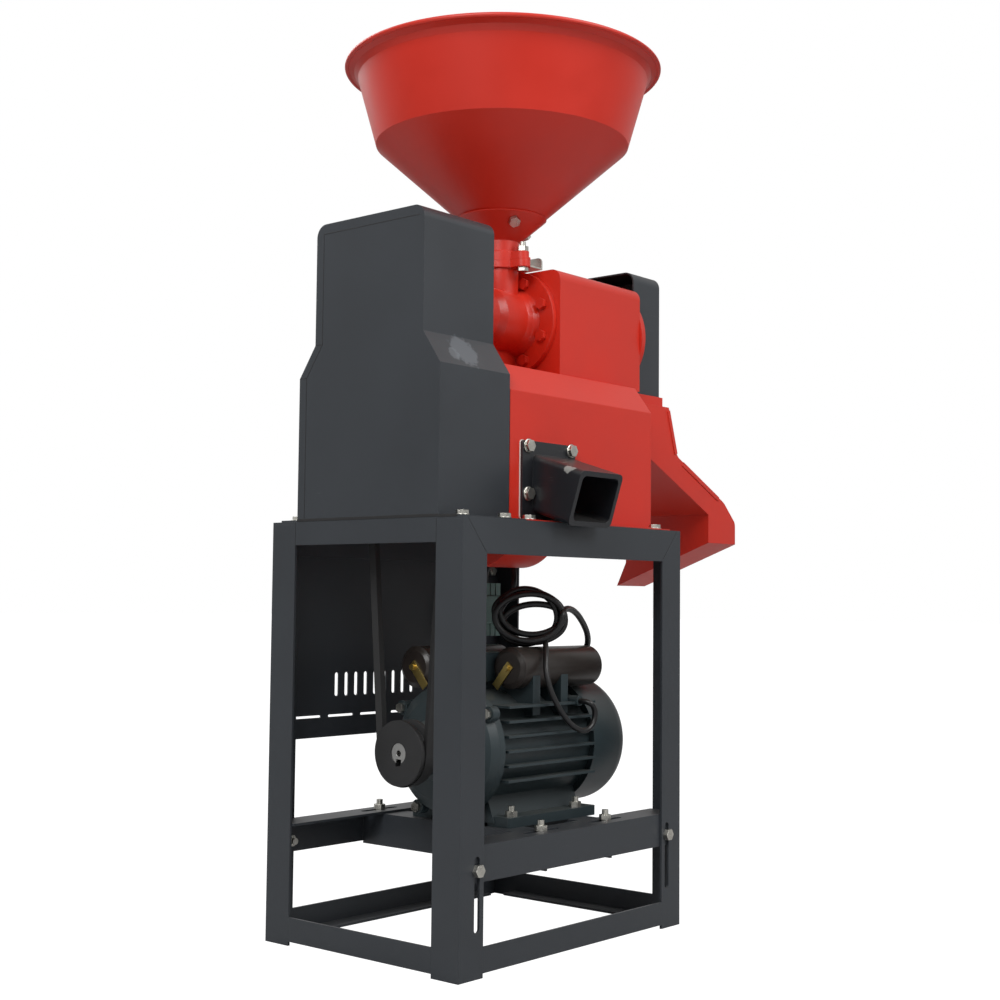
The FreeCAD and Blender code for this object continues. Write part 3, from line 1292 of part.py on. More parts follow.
def adjuster_boss():
    """Threaded boss on the end cover that carries the adjusting screw."""
    right = end_left() + END_DEPTH
    barrel = rod(V(right - 12.0, AXIS_Y, SHAFT_Z), X_AXIS, 11.7, 20.0)
    flange = rod(V(right, AXIS_Y, SHAFT_Z), X_AXIS, 19.0, 4.0)
    bore = rod(V(right - 12.0, AXIS_Y, SHAFT_Z), X_AXIS, ADJUSTER_RADIUS + RUNNING_GAP, 20.0)
    return fused([barrel, flange]).cut(bore)


def pressure_plate():
    """Disc that throttles the rice outlet, with a socket for the screw's tip."""
    left = end_left() + VALVE_GAP
    disc = revolve_x(AXIS_Y, SHAFT_Z, [(left, 0.0), (left, VALVE_RADIUS - 3.0),
                                       (left + VALVE_THICK, VALVE_RADIUS),
                                       (left + VALVE_THICK + 1.0, VALVE_RADIUS),
                                       (left + VALVE_THICK + 1.0, 14.0),
                                       (left + VALVE_THICK + VALVE_HUB, 12.0),
                                       (left + VALVE_THICK + VALVE_HUB, 0.0)])
    socket = rod(V(left + SOCKET_FLOOR, AXIS_Y, SHAFT_Z), X_AXIS,
                 ADJUSTER_RADIUS + RUNNING_GAP, VALVE_THICK + VALVE_HUB)
    return disc.cut(socket)


def adjusting_screw():
    """Screw that sets the outlet gap."""
    left = end_left() + VALVE_GAP + SOCKET_FLOOR + VALVE_TRAVEL + 0.5
    right = knob_left() + 10.0
    return rod(V(left, AXIS_Y, SHAFT_Z), X_AXIS, ADJUSTER_RADIUS, right - left)


def knob_left():
    """Where the adjusting knob starts outside the end cover."""
    return end_left() + END_DEPTH + 12.0


def adjusting_knob():
    """Lobed hand knob on the adjusting screw."""
    x = knob_left()
    body = rod(V(x, AXIS_Y, SHAFT_Z), X_AXIS, KNOB_RADIUS - 4.0, 16.0)
    lobes = [rod(V(x, AXIS_Y, SHAFT_Z) + polar(60.0 * index) * (KNOB_RADIUS - 7.0), X_AXIS,
                 7.0, 16.0) for index in range(6)]
    bore = rod(V(x, AXIS_Y, SHAFT_Z), X_AXIS, ADJUSTER_RADIUS, 10.0)
    return fused([body] + lobes).cut(bore)


def discharge_box():
    """Short red frame under the end cover that opens into the chute."""
    left = end_left()
    right = left + END_DEPTH
    outer = block(left, right, AXIS_Y - DISCHARGE_HALF, AXIS_Y + DISCHARGE_HALF,
                  DISCHARGE_LOW, BOX_TOP)
    hollow = block(left + SHEET, right - SHEET, AXIS_Y - END_HALF + SHEET,
                   AXIS_Y + END_HALF - SHEET, DISCHARGE_LOW, BOX_TOP)
    return outer.cut(hollow)


# ---- rice chute ------------------------------------------------------------------------
def chute_near_plate():
    """Front side of the chute: neck, sloping shoulder, rounded end and raking foot."""
    near = AXIS_Y - CHUTE_HALF
    return prism(plane_y(near, [
        (BOX_RIGHT, DISCHARGE_LOW, 0), (CHUTE_NECK_RIGHT, DISCHARGE_LOW, 0),
        (CHUTE_KNEE_X, CHUTE_KNEE_Z, 12.0), (CHUTE_SLOPE_X, CHUTE_SLOPE_Z, 30.0),
        (CHUTE_RIGHT, CHUTE_RIM_Z, 12.0), (CHUTE_RIGHT, TROUGH_LOW_Z, 0),
        (TROUGH_LEFT, TROUGH_LOW_Z, 0), (TROUGH_LEFT, RAMP_LOW_Z, 0),
        (BOX_RIGHT, RAMP_TOP_Z, 0)]), V(0, SHEET, 0))


def chute_hem(start, end, inset):
    """Folded stiffening strip along an edge of the chute's front side."""
    near = AXIS_Y - CHUTE_HALF
    direction = (V(end[0], 0, end[1]) - V(start[0], 0, start[1])).normalize()
    side = V(-direction.z, 0, direction.x) * -1
    a = V(start[0], near, start[1]) + direction * inset
    b = V(end[0], near, end[1]) - direction * inset
    width = 6.0
    return prism([(a, 0), (b, 0), (b + side * width, 0), (a + side * width, 0)],
                 V(0, -1.2, 0))


def rice_chute():
    """Folded chute: ramp from the outlet, then a trough that pours towards the operator."""
    near = AXIS_Y - CHUTE_HALF
    far = AXIS_Y + CHUTE_HALF
    depth = 2 * CHUTE_HALF
    ramp = prism(plane_y(near, [(BOX_RIGHT, RAMP_TOP_Z, 0), (TROUGH_LEFT, RAMP_LOW_Z, 0),
                                (TROUGH_LEFT, RAMP_LOW_Z + SHEET, 0),
                                (BOX_RIGHT, RAMP_TOP_Z + SHEET, 0)]), V(0, depth, 0))
    back = prism(plane_y(far - SHEET, [
        (BOX_RIGHT, DISCHARGE_LOW, 0), (CHUTE_NECK_RIGHT, DISCHARGE_LOW, 0),
        (CHUTE_KNEE_X, CHUTE_KNEE_Z, 12.0), (TROUGH_LEFT, RAMP_LOW_Z + 30.0, 0),
        (TROUGH_LEFT, RAMP_LOW_Z, 0), (BOX_RIGHT, RAMP_TOP_Z, 0)]), V(0, SHEET, 0))
    left_wall = prism(plane_x(TROUGH_LEFT, [
        (near, RAMP_LOW_Z + SHEET, 0), (near, TROUGH_LOW_Z, 0), (LIP_Y, LIP_Z, 0),
        (far, LIP_Z + 34.0, 0), (far, RAMP_LOW_Z + SHEET, 0)]), V(SHEET, 0, 0))
    right_wall = prism(plane_x(CHUTE_RIGHT - SHEET, [
        (near, CHUTE_RIM_Z - 12.0, 0), (near, TROUGH_LOW_Z, 0), (LIP_Y, LIP_Z, 0),
        (far, LIP_Z + 34.0, 6.0)]), V(SHEET, 0, 0))
    floor = prism(plane_x(TROUGH_LEFT, [
        (near, TROUGH_LOW_Z, 0), (LIP_Y, LIP_Z, 0), (LIP_Y - 0.8, LIP_Z + SHEET, 0),
        (near, TROUGH_LOW_Z + SHEET * 1.1, 0)]), V(CHUTE_RIGHT - TROUGH_LEFT, 0, 0))
    flange = block(BOX_RIGHT, BOX_RIGHT + SHEET, near, far, RAMP_TOP_Z, DISCHARGE_LOW)
    rim = block(BOX_RIGHT, CHUTE_NECK_RIGHT, near, far, DISCHARGE_LOW - SHEET, DISCHARGE_LOW)
    way = block(end_left() + SHEET, end_left() + END_DEPTH - SHEET, AXIS_Y - END_HALF + SHEET,
                AXIS_Y + END_HALF - SHEET, DISCHARGE_LOW - SHEET, DISCHARGE_LOW)
    neck_hem = chute_hem((CHUTE_NECK_RIGHT, DISCHARGE_LOW), (CHUTE_KNEE_X, CHUTE_KNEE_Z), 4.0)
    slope_hem = chute_hem((CHUTE_KNEE_X, CHUTE_KNEE_Z), (CHUTE_SLOPE_X, CHUTE_SLOPE_Z), 16.0)
    return fused([chute_near_plate(), ramp, back, left_wall, right_wall, floor, flange,
                  rim.cut(way), neck_hem, slope_hem])


# ---- motor -----------------------------------------------------------------------------
def motor_frame():
    """Finned stator housing with its pedestal and feet."""
    start = V(MOTOR_LEFT, AXIS_Y, MOTOR_Z)
    length = MOTOR_RIGHT - MOTOR_LEFT
    core = rod(start, X_AXIS, MOTOR_CORE, length)
    lip = rod(start, X_AXIS, MOTOR_FIN, 10.0)
    pieces = [core, lip]
    half = FIN_THICK / 2.0
    for row in range(-2, 4):
        z = MOTOR_Z + row * FIN_ROW
        pieces.append(block(MOTOR_LEFT + 14.0, MOTOR_RIGHT - 2.0, AXIS_Y - MOTOR_FIN - 2.0,
                            AXIS_Y + MOTOR_FIN + 2.0, z - half, z + half))
    for column in range(-1, 2):
        y = AXIS_Y + column * FIN_STEP
        pieces.append(block(MOTOR_LEFT + 14.0, MOTOR_RIGHT - 2.0, y - half, y + half, MOTOR_Z,
                            MOTOR_Z + MOTOR_FIN))
    pedestal = prism(plane_x(MOTOR_LEFT + 16.0, [
        (AXIS_Y - 58.0, BEAM_FACE + 4.0, 0), (AXIS_Y + 58.0, BEAM_FACE + 4.0, 0),
        (AXIS_Y + 44.0, MOTOR_Z - 50.0, 0), (AXIS_Y - 44.0, MOTOR_Z - 50.0, 0)]),
        V(length - 18.0, 0, 0))
    pieces.append(pedestal)
    for side in (-1, 1):
        inner = AXIS_Y + side * 46.0
        outer = AXIS_Y + side * FOOT_HALF
        pieces.append(prism(plane_z(BEAM_FACE, [
            (FOOT_LEFT, inner, 0), (FOOT_RIGHT, inner, 0), (FOOT_RIGHT, outer, 4.0),
            (FOOT_LEFT, outer, 4.0)]), V(0, 0, FOOT_THICK)))
    pieces += capacitor_cradles()
    pieces.append(rod(V(GROMMET_X, GROMMET_Y, GROMMET_Z), Y_AXIS, GROMMET_RADIUS, 44.0))
    body = fused(pieces)
    cutters = [rod(start, X_AXIS, MOTOR_BORE, length)]
    for x in FOOT_BOLT_X:
        for y in foot_bolt_rows():
            cutters.append(rod(V(x, y, BEAM_FACE), Z_AXIS, BOLT_HOLE, FOOT_THICK))
    return body.cut(cutters)


def end_shield():
    """Domed drive-end shield with four bolt lugs and the bearing hub."""
    hub_left = MOTOR_LEFT - 46.0
    dome = revolve_x(AXIS_Y, MOTOR_Z, [
        (hub_left, MOTOR_SHAFT_RADIUS + 1.0), (hub_left, SHIELD_HUB), (hub_left + 10.0, SHIELD_HUB + 6.0),
        (hub_left + 22.0, 60.0), (MOTOR_LEFT - 12.0, MOTOR_FIN - 4.0),
        (MOTOR_LEFT, MOTOR_FIN), (MOTOR_LEFT, MOTOR_BORE),
        (MOTOR_LEFT - 10.0, MOTOR_BORE - 2.0), (hub_left + 26.0, 50.0),
        (hub_left + 22.0, 26.1), (MOTOR_LEFT - 12.0, 26.1), (MOTOR_LEFT - 12.0, 22.1),
        (hub_left + 6.0, 22.1), (hub_left + 6.0, MOTOR_SHAFT_RADIUS + 1.0)])
    pieces = [dome]
    for angle in SHIELD_BOLT_ANGLES:
        spot = V(MOTOR_LEFT - 12.0, AXIS_Y, MOTOR_Z) + polar(angle) * SHIELD_BOLT_RADIUS
        pieces.append(rod(spot, X_AXIS, 9.0, 12.0))
    shield = fused(pieces)
    holes = []
    for angle in SHIELD_BOLT_ANGLES:
        spot = V(MOTOR_LEFT - 12.0, AXIS_Y, MOTOR_Z) + polar(angle) * SHIELD_BOLT_RADIUS
        holes.append(rod(spot, X_AXIS, BOLT_RADIUS - 0.7, 12.0))
    return shield.cut(holes)


def shield_bolts():
    """Short bolts in the end shield's lugs."""
    bolts = []
    for angle in SHIELD_BOLT_ANGLES:
        seat = V(MOTOR_LEFT - 12.0, AXIS_Y, MOTOR_Z) + polar(angle) * SHIELD_BOLT_RADIUS
        head = hexagon(seat, X_AXIS * -1, 11.0, 5.0)
        shank = rod(seat + X_AXIS * -0.5, X_AXIS, BOLT_RADIUS - 0.8, 12.0)
        bolts.append(fused([head, shank]))
    return group(bolts)


def rear_shield():
    """Plain shield at the fan end with its bearing seat."""
    right = MOTOR_RIGHT + 16.0
    return revolve_x(AXIS_Y, MOTOR_Z, [
        (MOTOR_RIGHT, FAN_COVER_RADIUS - SHEET), (MOTOR_RIGHT + 5.0, FAN_COVER_RADIUS - SHEET),
        (MOTOR_RIGHT + 6.0, MOTOR_CORE), (right - 4.0, MOTOR_CORE - 6.0), (right, 34.0),
        (right, 15.0), (right - 3.0, 15.0), (right - 3.0, 22.1), (MOTOR_RIGHT - 4.0, 22.1),
        (MOTOR_RIGHT - 4.0, 28.0), (right - 8.0, 30.0), (right - 10.0, MOTOR_BORE - 4.0),
        (MOTOR_RIGHT, MOTOR_BORE)])


def motor_bearings():
    """Ball bearings of the motor's shaft."""
    left = ring(V(MOTOR_LEFT - 36.0, AXIS_Y, MOTOR_Z), X_AXIS, 22.0,
                MOTOR_SHAFT_RADIUS + RUNNING_GAP, 12.0)
    right = ring(V(MOTOR_RIGHT, AXIS_Y, MOTOR_Z), X_AXIS, 22.0,
                 MOTOR_SHAFT_RADIUS + RUNNING_GAP, 12.0)
    return group([left, right])


def motor_stator():
    """Stator pack pressed into the housing."""
    return ring(V(MOTOR_LEFT + STATOR_INSET, AXIS_Y, MOTOR_Z), X_AXIS,
                MOTOR_BORE - RUNNING_GAP, ROTOR_RADIUS + 0.6, STATOR_LENGTH)


def motor_shaft():
    """Motor shaft with centre hole and keyway at the pulley."""
    shaft = rod(V(SHAFT_END_X, AXIS_Y, MOTOR_Z), X_AXIS, MOTOR_SHAFT_RADIUS,
                MOTOR_RIGHT + 60.0 - SHAFT_END_X)
    centre = rod(V(SHAFT_END_X, AXIS_Y, MOTOR_Z), X_AXIS, 3.5, 10.0)
    key = block(SHAFT_END_X, SHAFT_END_X + 40.0, AXIS_Y - 4.0, AXIS_Y + 4.0,
                MOTOR_Z - MOTOR_SHAFT_RADIUS, MOTOR_Z - MOTOR_SHAFT_RADIUS + 5.0)
    return shaft.cut([centre, key])


def cooling_fan():
    """Fan on the shaft's rear end."""
    x = MOTOR_RIGHT + 30.0
    hub = rod(V(x, AXIS_Y, MOTOR_Z), X_AXIS, 20.0, 28.0)
    disc = rod(V(x, AXIS_Y, MOTOR_Z), X_AXIS, 60.0, 3.0)
    blades = []
    for index in range(6):
        blade = block(x, x + 24.0, AXIS_Y + 14.0, AXIS_Y + 66.0, MOTOR_Z - 1.2,
                      MOTOR_Z + 1.2)
        blade.rotate(V(0, AXIS_Y, MOTOR_Z), X_AXIS, 60.0 * index)
        blades.append(blade)
    bore = rod(V(x, AXIS_Y, MOTOR_Z), X_AXIS, MOTOR_SHAFT_RADIUS, 28.0)
    return fused([hub, disc] + blades).cut(bore)


def fan_cover():
    """Pressed cowl over the fan with a rounded end and air slots."""
    left = MOTOR_RIGHT - 2.0
    end = FAN_COVER_END
    t = SHEET
    radius = FAN_COVER_RADIUS
    wire_edges = []
    shoulder = 26.0
    a = V(left, AXIS_Y + radius, MOTOR_Z)
    b = V(end - shoulder, AXIS_Y + radius, MOTOR_Z)
    corner = math.sqrt(0.5)
    b_mid = V(end - shoulder + shoulder * corner,
              AXIS_Y + radius - shoulder + shoulder * corner, MOTOR_Z)
    c = V(end, AXIS_Y + radius - shoulder, MOTOR_Z)
    d = V(end, AXIS_Y, MOTOR_Z)
    d_in = V(end - t, AXIS_Y, MOTOR_Z)
    c_in = V(end - t, AXIS_Y + radius - shoulder, MOTOR_Z)
    inner = shoulder - t
    b_in_mid = V(end - shoulder + inner * corner,
                 AXIS_Y + radius - shoulder + inner * corner, MOTOR_Z)
    b_in = V(end - shoulder, AXIS_Y + radius - t, MOTOR_Z)
    a_in = V(left, AXIS_Y + radius - t, MOTOR_Z)
    wire_edges.append(Part.LineSegment(a, b).toShape())
    wire_edges.append(Part.Arc(b, b_mid, c).toShape())
    wire_edges.append(Part.LineSegment(c, d).toShape())
    wire_edges.append(Part.LineSegment(d, d_in).toShape())
    wire_edges.append(Part.LineSegment(d_in, c_in).toShape())
    wire_edges.append(Part.Arc(c_in, b_in_mid, b_in).toShape())
    wire_edges.append(Part.LineSegment(b_in, a_in).toShape())
    wire_edges.append(Part.LineSegment(a_in, a).toShape())
    shell = Part.Face(Part.Wire(wire_edges)).revolve(V(0, AXIS_Y, MOTOR_Z), X_AXIS, TURN)
    cutters = []
    for ring_radius, count in ((18.0, 4), (34.0, 8), (50.0, 12)):
        for index in range(count):
            cutter = slot(V(end - 3 * t, AXIS_Y + ring_radius, MOTOR_Z), Z_AXIS, 14.0, 6.0,
                          X_AXIS, 4 * t)
            cutter.rotate(V(0, AXIS_Y, MOTOR_Z), X_AXIS, index * TURN / count)
            cutters.append(cutter)
    return shell.cut(cutters)


def foot_bolts():
    """Bolts of the motor's feet, nuts on top."""
    bolts = []
    for x in FOOT_BOLT_X:
        for y in foot_bolt_rows():
            bolts.append(bolt(V(x, y, BEAM_FACE - ANGLE_WALL), Z_AXIS * -1,
                              ANGLE_WALL + FOOT_THICK))
    return group(bolts)


def capacitor_centre(side):
    """Y and Z of a capacitor; side -1 is the near one."""
    return AXIS_Y + side * CAPACITOR_SIDE, MOTOR_Z + CAPACITOR_LIFT


def capacitor(side, x):
    """Round capacitor lying along the motor, with a stepped terminal cap."""
    y, z = capacitor_centre(side)
    r = CAPACITOR_RADIUS
    return revolve_x(y, z, [(x, 0.0), (x, r - 6.0), (x + 3.0, r - 2.0), (x + 4.0, r),
                            (x + CAPACITOR_LENGTH - 5.0, r), (x + CAPACITOR_LENGTH, r - 5.0),
                            (x + CAPACITOR_LENGTH, 0.0)])


def near_capacitor():
    """Capacitor on the spout side."""
    return capacitor(-1, NEAR_CAPACITOR_X)


def far_capacitor():
    """Capacitor on the panel side, nearer to the pulley."""
    return capacitor(1, FAR_CAPACITOR_X)


def capacitor_straps():
    """Brass tails and steel cradles that hold the capacitors on the motor."""
    pieces = []
    for side, x in ((-1, NEAR_CAPACITOR_X), (1, FAR_CAPACITOR_X)):
        y, z = capacitor_centre(side)
        tail = block(x - STRAP_THICK - 0.2, x - 0.2, y - STRAP_WIDTH / 2.0,
                     y + STRAP_WIDTH / 2.0, z - 31.0, z + 6.0)
        tail.rotate(V(x, y, z), X_AXIS, 40.0 * -side)
        stud = rod(V(x - 6.0, y, z), X_AXIS, 3.5, 6.0)
        stud_hole = rod(V(x - 6.0, y, z), X_AXIS, 3.5, 6.0)
        pieces.append(tail.cut(stud_hole))
        pieces.append(stud)
    return group(pieces)


def capacitor_cradles():
    """Cast saddles on the housing that seat the capacitors."""
    cradles = []
    for x in (MOTOR_LEFT + 70.0, MOTOR_RIGHT - 60.0):
        saddle = block(x, x + 14.0, AXIS_Y - CAPACITOR_SIDE - 24.0,
                       AXIS_Y + CAPACITOR_SIDE + 24.0, MOTOR_Z + 40.0,
                       MOTOR_Z + CAPACITOR_LIFT - 8.0)
        cutters = [rod(V(x, AXIS_Y, MOTOR_Z), X_AXIS, MOTOR_BORE, 14.0)]
        for side in (-1, 1):
            y, z = capacitor_centre(side)
            cutters.append(rod(V(x, y, z), X_AXIS, CAPACITOR_RADIUS, 14.0))
        gap = CAPACITOR_SIDE - CAPACITOR_RADIUS
        cutters.append(block(x, x + 14.0, AXIS_Y - gap, AXIS_Y + gap, MOTOR_Z + MOTOR_FIN,
                             MOTOR_Z + CAPACITOR_LIFT))
        cradles.append(saddle.cut(cutters))
    return cradles


def terminal_box():
    """Motor terminal box between the capacitors with a cable gland boss."""
    z0 = MOTOR_Z + MOTOR_FIN
    half = CAPACITOR_SIDE - CAPACITOR_RADIUS - 1.0
    return prism(plane_z(z0, [(BOX_START, AXIS_Y - half, 3.0), (BOX_END, AXIS_Y - half, 3.0),
                              (BOX_END, AXIS_Y + half, 3.0), (BOX_START, AXIS_Y + half, 3.0)]),
                 V(0, 0, TERMINAL_BOX_HEIGHT))


def end_shields():
    """Both end shields of the motor."""
    return group([end_shield(), rear_shield()])


def motor_bolts():
    """Foot bolts and shield bolts of the motor."""
    return group(foot_bolts().Solids + shield_bolts().Solids)


def motor_rotor():
    """Rotor core on its shaft."""
    return fused([motor_shaft(), rotor_core_solid()])


def rotor_core_solid():
    """Squirrel-cage core, solid to the shaft."""
    return rod(V(MOTOR_LEFT + 38.0, AXIS_Y, MOTOR_Z), X_AXIS, ROTOR_RADIUS, 114.0)


def capacitors():
    """Start and run capacitors."""
    return group([near_capacitor(), far_capacitor()])


# ---- operator panel and switchgear -----------------------------------------------------
def panel_face():
    """Inner face of the operator panel, against the legs."""
    return STAND_WIDTH


def operator_panel():
    """Sheet on the operator's side with air slots and the breaker's window."""
    left = PANEL_MARGIN
    right = STAND_LENGTH - PANEL_MARGIN
    y = panel_face()
    sheet = prism(plane_y(y, [(left, PANEL_LOW, 8.0), (right, PANEL_LOW, 8.0),
                              (right, STAND_HEIGHT - 2.0, 3.0), (left, STAND_HEIGHT - 2.0, 3.0)]),
                  V(0, PANEL_THICK, 0))
    cutters = []
    for index in range(VENT_SLOTS):
        x = 110.0 + index * VENT_PITCH
        cutters.append(slot(V(x, y, 301.0), Z_AXIS, 30.0, 6.5, Y_AXIS, PANEL_THICK))
    for index in range(4):
        x = 62.0 + index * 56.0
        cutters.append(slot(V(x, y, 262.0), X_AXIS, 44.0, 3.0, Y_AXIS, PANEL_THICK))
    cutters.append(block(BREAKER_X - 12.0, BREAKER_X + 12.0, y, y + PANEL_THICK,
                         BREAKER_Z - 14.0, BREAKER_Z + 14.0))
    for x, z in panel_bolt_places():
        cutters.append(rod(V(x, y, z), Y_AXIS, BOLT_HOLE, PANEL_THICK))
    return sheet.cut(cutters)


def panel_bolt_places():
    """Panel bolts through the far legs' and rail's faces."""
    return [(x, z) for x in (20.0, STAND_LENGTH - 20.0) for z in (PANEL_LOW + 24.0, 450.0)]


def panel_bolts():
    """Bolts of the operator panel."""
    grip = PANEL_THICK + ANGLE_WALL
    return group([bolt(V(x, STAND_WIDTH + PANEL_THICK, z), Y_AXIS, grip, tail=2.0)
                  for x, z in panel_bolt_places()])


def circuit_breaker():
    """Breaker body behind the panel, its nose in the panel's window."""
    y1 = panel_face() - FIT_GAP
    half_w = BREAKER_WIDTH / 2.0
    half_h = BREAKER_HEIGHT / 2.0
    step = 17.0
    body = prism(plane_x(BREAKER_X - half_w, [
        (y1 - BREAKER_DEPTH, BREAKER_Z - half_h + step, 2.0),
        (y1, BREAKER_Z - half_h + step, 0), (y1, BREAKER_Z + half_h - step, 0),
        (y1 - BREAKER_DEPTH, BREAKER_Z + half_h - step, 2.0)]), V(BREAKER_WIDTH, 0, 0))
    window = block(BREAKER_X - 8.3, BREAKER_X + 8.3, y1 - 12.0, y1 + 1.0, BREAKER_Z - 10.0,
                   BREAKER_Z + 10.0)
    return group([body.cut(window)] + breaker_terminals().Solids)


def breaker_terminals():
    """Terminal blocks above and below the breaker."""
    y1 = panel_face() - FIT_GAP
    half_w = BREAKER_WIDTH / 2.0
    half_h = BREAKER_HEIGHT / 2.0
    step = 17.0
    blocks = []
    for low in (BREAKER_Z - half_h, BREAKER_Z + half_h - step):
        whole = block(BREAKER_X - half_w, BREAKER_X + half_w, y1 - BREAKER_DEPTH + 4.0, y1,
                      low, low + step)
        slits = [block(BREAKER_X + shift - 1.0, BREAKER_X + shift + 1.0,
                       y1 - BREAKER_DEPTH + 4.0, y1 - BREAKER_DEPTH + 10.0, low, low + step)
                 for shift in (-10.5, 0.0, 10.5)]
        blocks.append(whole.cut(slits))
    return group(blocks)


def breaker_toggle():
    """Toggle in the panel's window."""
    y = toggle_axis_y()
    barrel = rod(V(BREAKER_X - 8.0, y, BREAKER_Z), X_AXIS, 5.0, 16.0)
    lever = block(BREAKER_X - 6.0, BREAKER_X + 6.0, y, y + 16.0, BREAKER_Z - 2.5,
                  BREAKER_Z + 2.5)
    lever.rotate(V(0, y, BREAKER_Z), X_AXIS, 25.0)
    return fused([barrel, lever])


def toggle_axis_y():
    """Y of the toggle's pivot."""
    return panel_face() - FIT_GAP - 6.0


# ---- wiring ----------------------------------------------------------------------------
def cable(points, radius):
    """Round cable along straight runs joined by arcs as large as the runs allow."""
    route = [V(*point) for point in points]
    edges = []
    radii = []
    last = route[0]
    for index in range(1, len(route) - 1):
        point = route[index]
        back = route[index - 1] - point
        ahead = route[index + 1] - point
        reach = 0.45 * min(back.Length, ahead.Length)
        back.normalize()
        ahead.normalize()
        half_turn = (math.pi - back.getAngle(ahead)) / 2.0
        bend = reach / math.tan(half_turn)
        radii.append(round(bend, 1))
        enter = point + back * reach
        leave = point + ahead * reach
        inward = (back + ahead).normalize()
        middle = point + inward * (bend / math.cos(half_turn) - bend)
        edges.append(Part.LineSegment(last, enter).toShape())
        edges.append(Part.Arc(enter, middle, leave).toShape())
        last = leave
    edges.append(Part.LineSegment(last, route[-1]).toShape())
    path = Part.Wire(edges)
    first = (route[1] - route[0]).normalize()
    section = Part.Wire(Part.Circle(route[0], first, radius).toShape())
    tube = path.makePipeShell([section], True, True)
    whole = math.pi * radius ** 2 * path.Length
    print("cable", round(path.Length, 1), "mm, radii", radii, "volume ratio",
          round(tube.Volume / whole, 4))
    return tube


def coil_centre():
    """Middle of the loose cable coil, which rests on the near capacitor."""
    z = MOTOR_Z + CAPACITOR_LIFT + CAPACITOR_RADIUS + COIL_HALF_HEIGHT
    return V(COIL_X, COIL_Y, z)


def cable_coil():
    """Outer shape of the loosely coiled spare cable."""
    centre = coil_centre()
    heading = math.radians(COIL_HEADING)
    facing = V(math.sin(heading), math.cos(heading), 0)
    start = centre - facing * (COIL_DEPTH / 2.0)

    def oval_face(width, height):
        oval_curve = Part.Ellipse(start + V(math.cos(heading), -math.sin(heading), 0) * width,
                                  start + Z_AXIS * height, start)
        return Part.Face(Part.Wire(oval_curve.toShape())).extrude(facing * COIL_DEPTH)
    outer = oval_face(COIL_HALF_WIDTH, COIL_HALF_HEIGHT)
    return outer.cut(oval_face(COIL_HALF_WIDTH - COIL_BUNDLE, COIL_HALF_HEIGHT - COIL_BUNDLE))


def breaker_lead():
    """Cable from the coil up under the deck and down to the breaker's top terminals."""
    top = BREAKER_Z + BREAKER_HEIGHT / 2.0
    return cable([(234, 123, 412), (243, 131, 433), (254, 143, 454), (271, 161, 474),
                  (294, 188, 486), (320, 218, 486), (342, 246, 477), (355, 267, 463),
                  (BREAKER_X, 279, top + 15), (BREAKER_X, 279, top)], CABLE_RADIUS)


def motor_lead():
    """Cable from the coil over the near capacitor's end to the terminal box."""
    return cable([(268, 78, 396), (288, 80, 400), (314, 88, 395), (342, 98, 382),
                  (367, 108, 365), (383, 121, 347), (380, 139, 334), (362, 150, 326),
                  (334, 153, 324), (302, 151, 326), (272, 152, 328), (BOX_END, 152, 328)],
                 CABLE_RADIUS)


def capacitor_lead():
    """Lead that hangs from the coil in front of the fins and ends in the grommet."""
    return cable([(252, 87, 358), (240, 76, 345), (229, 68, 324), (231, 62, 299),
                  (246, 58, 274), (268, 56, 254), (292, 55, 246), (309, 54, 256),
                  (311, 53, 273), (GROMMET_X, 52, GROMMET_Z), (GROMMET_X, GROMMET_Y, GROMMET_Z)],
                 LEAD_RADIUS)


# ---- assembly --------------------------------------------------------------------------
def stand_rails():
    """Top and lower rails."""
    return group(top_rails().Solids + lower_rails().Solids)


def motor_carriage():
    """Slotted beams and the cross bars under the motor."""
    return group(motor_beams().Solids + motor_cross_bars().Solids)


def stand_bolts():
    """Bolts of the beams, cross bars, deck and panel."""
    sets = (beam_bolts, cross_bar_bolts, deck_bolts, panel_bolts)
    return group([solid for make in sets for solid in make().Solids])


def hopper_bolts():
    """Bolts of the inlet flanges and the hopper's collar."""
    return group(inlet_bolts().Solids + collar_bolts().Solids)


def ball_bearings():
    """Ball bearings of the main shaft and the motor."""
    return group(shaft_bearings().Solids + motor_bearings().Solids)


def screen_set():
    """Lower slotted screen, upper half shell and the bar that clamps them."""
    return group([lower_screen(), upper_shell(), screen_bars()])


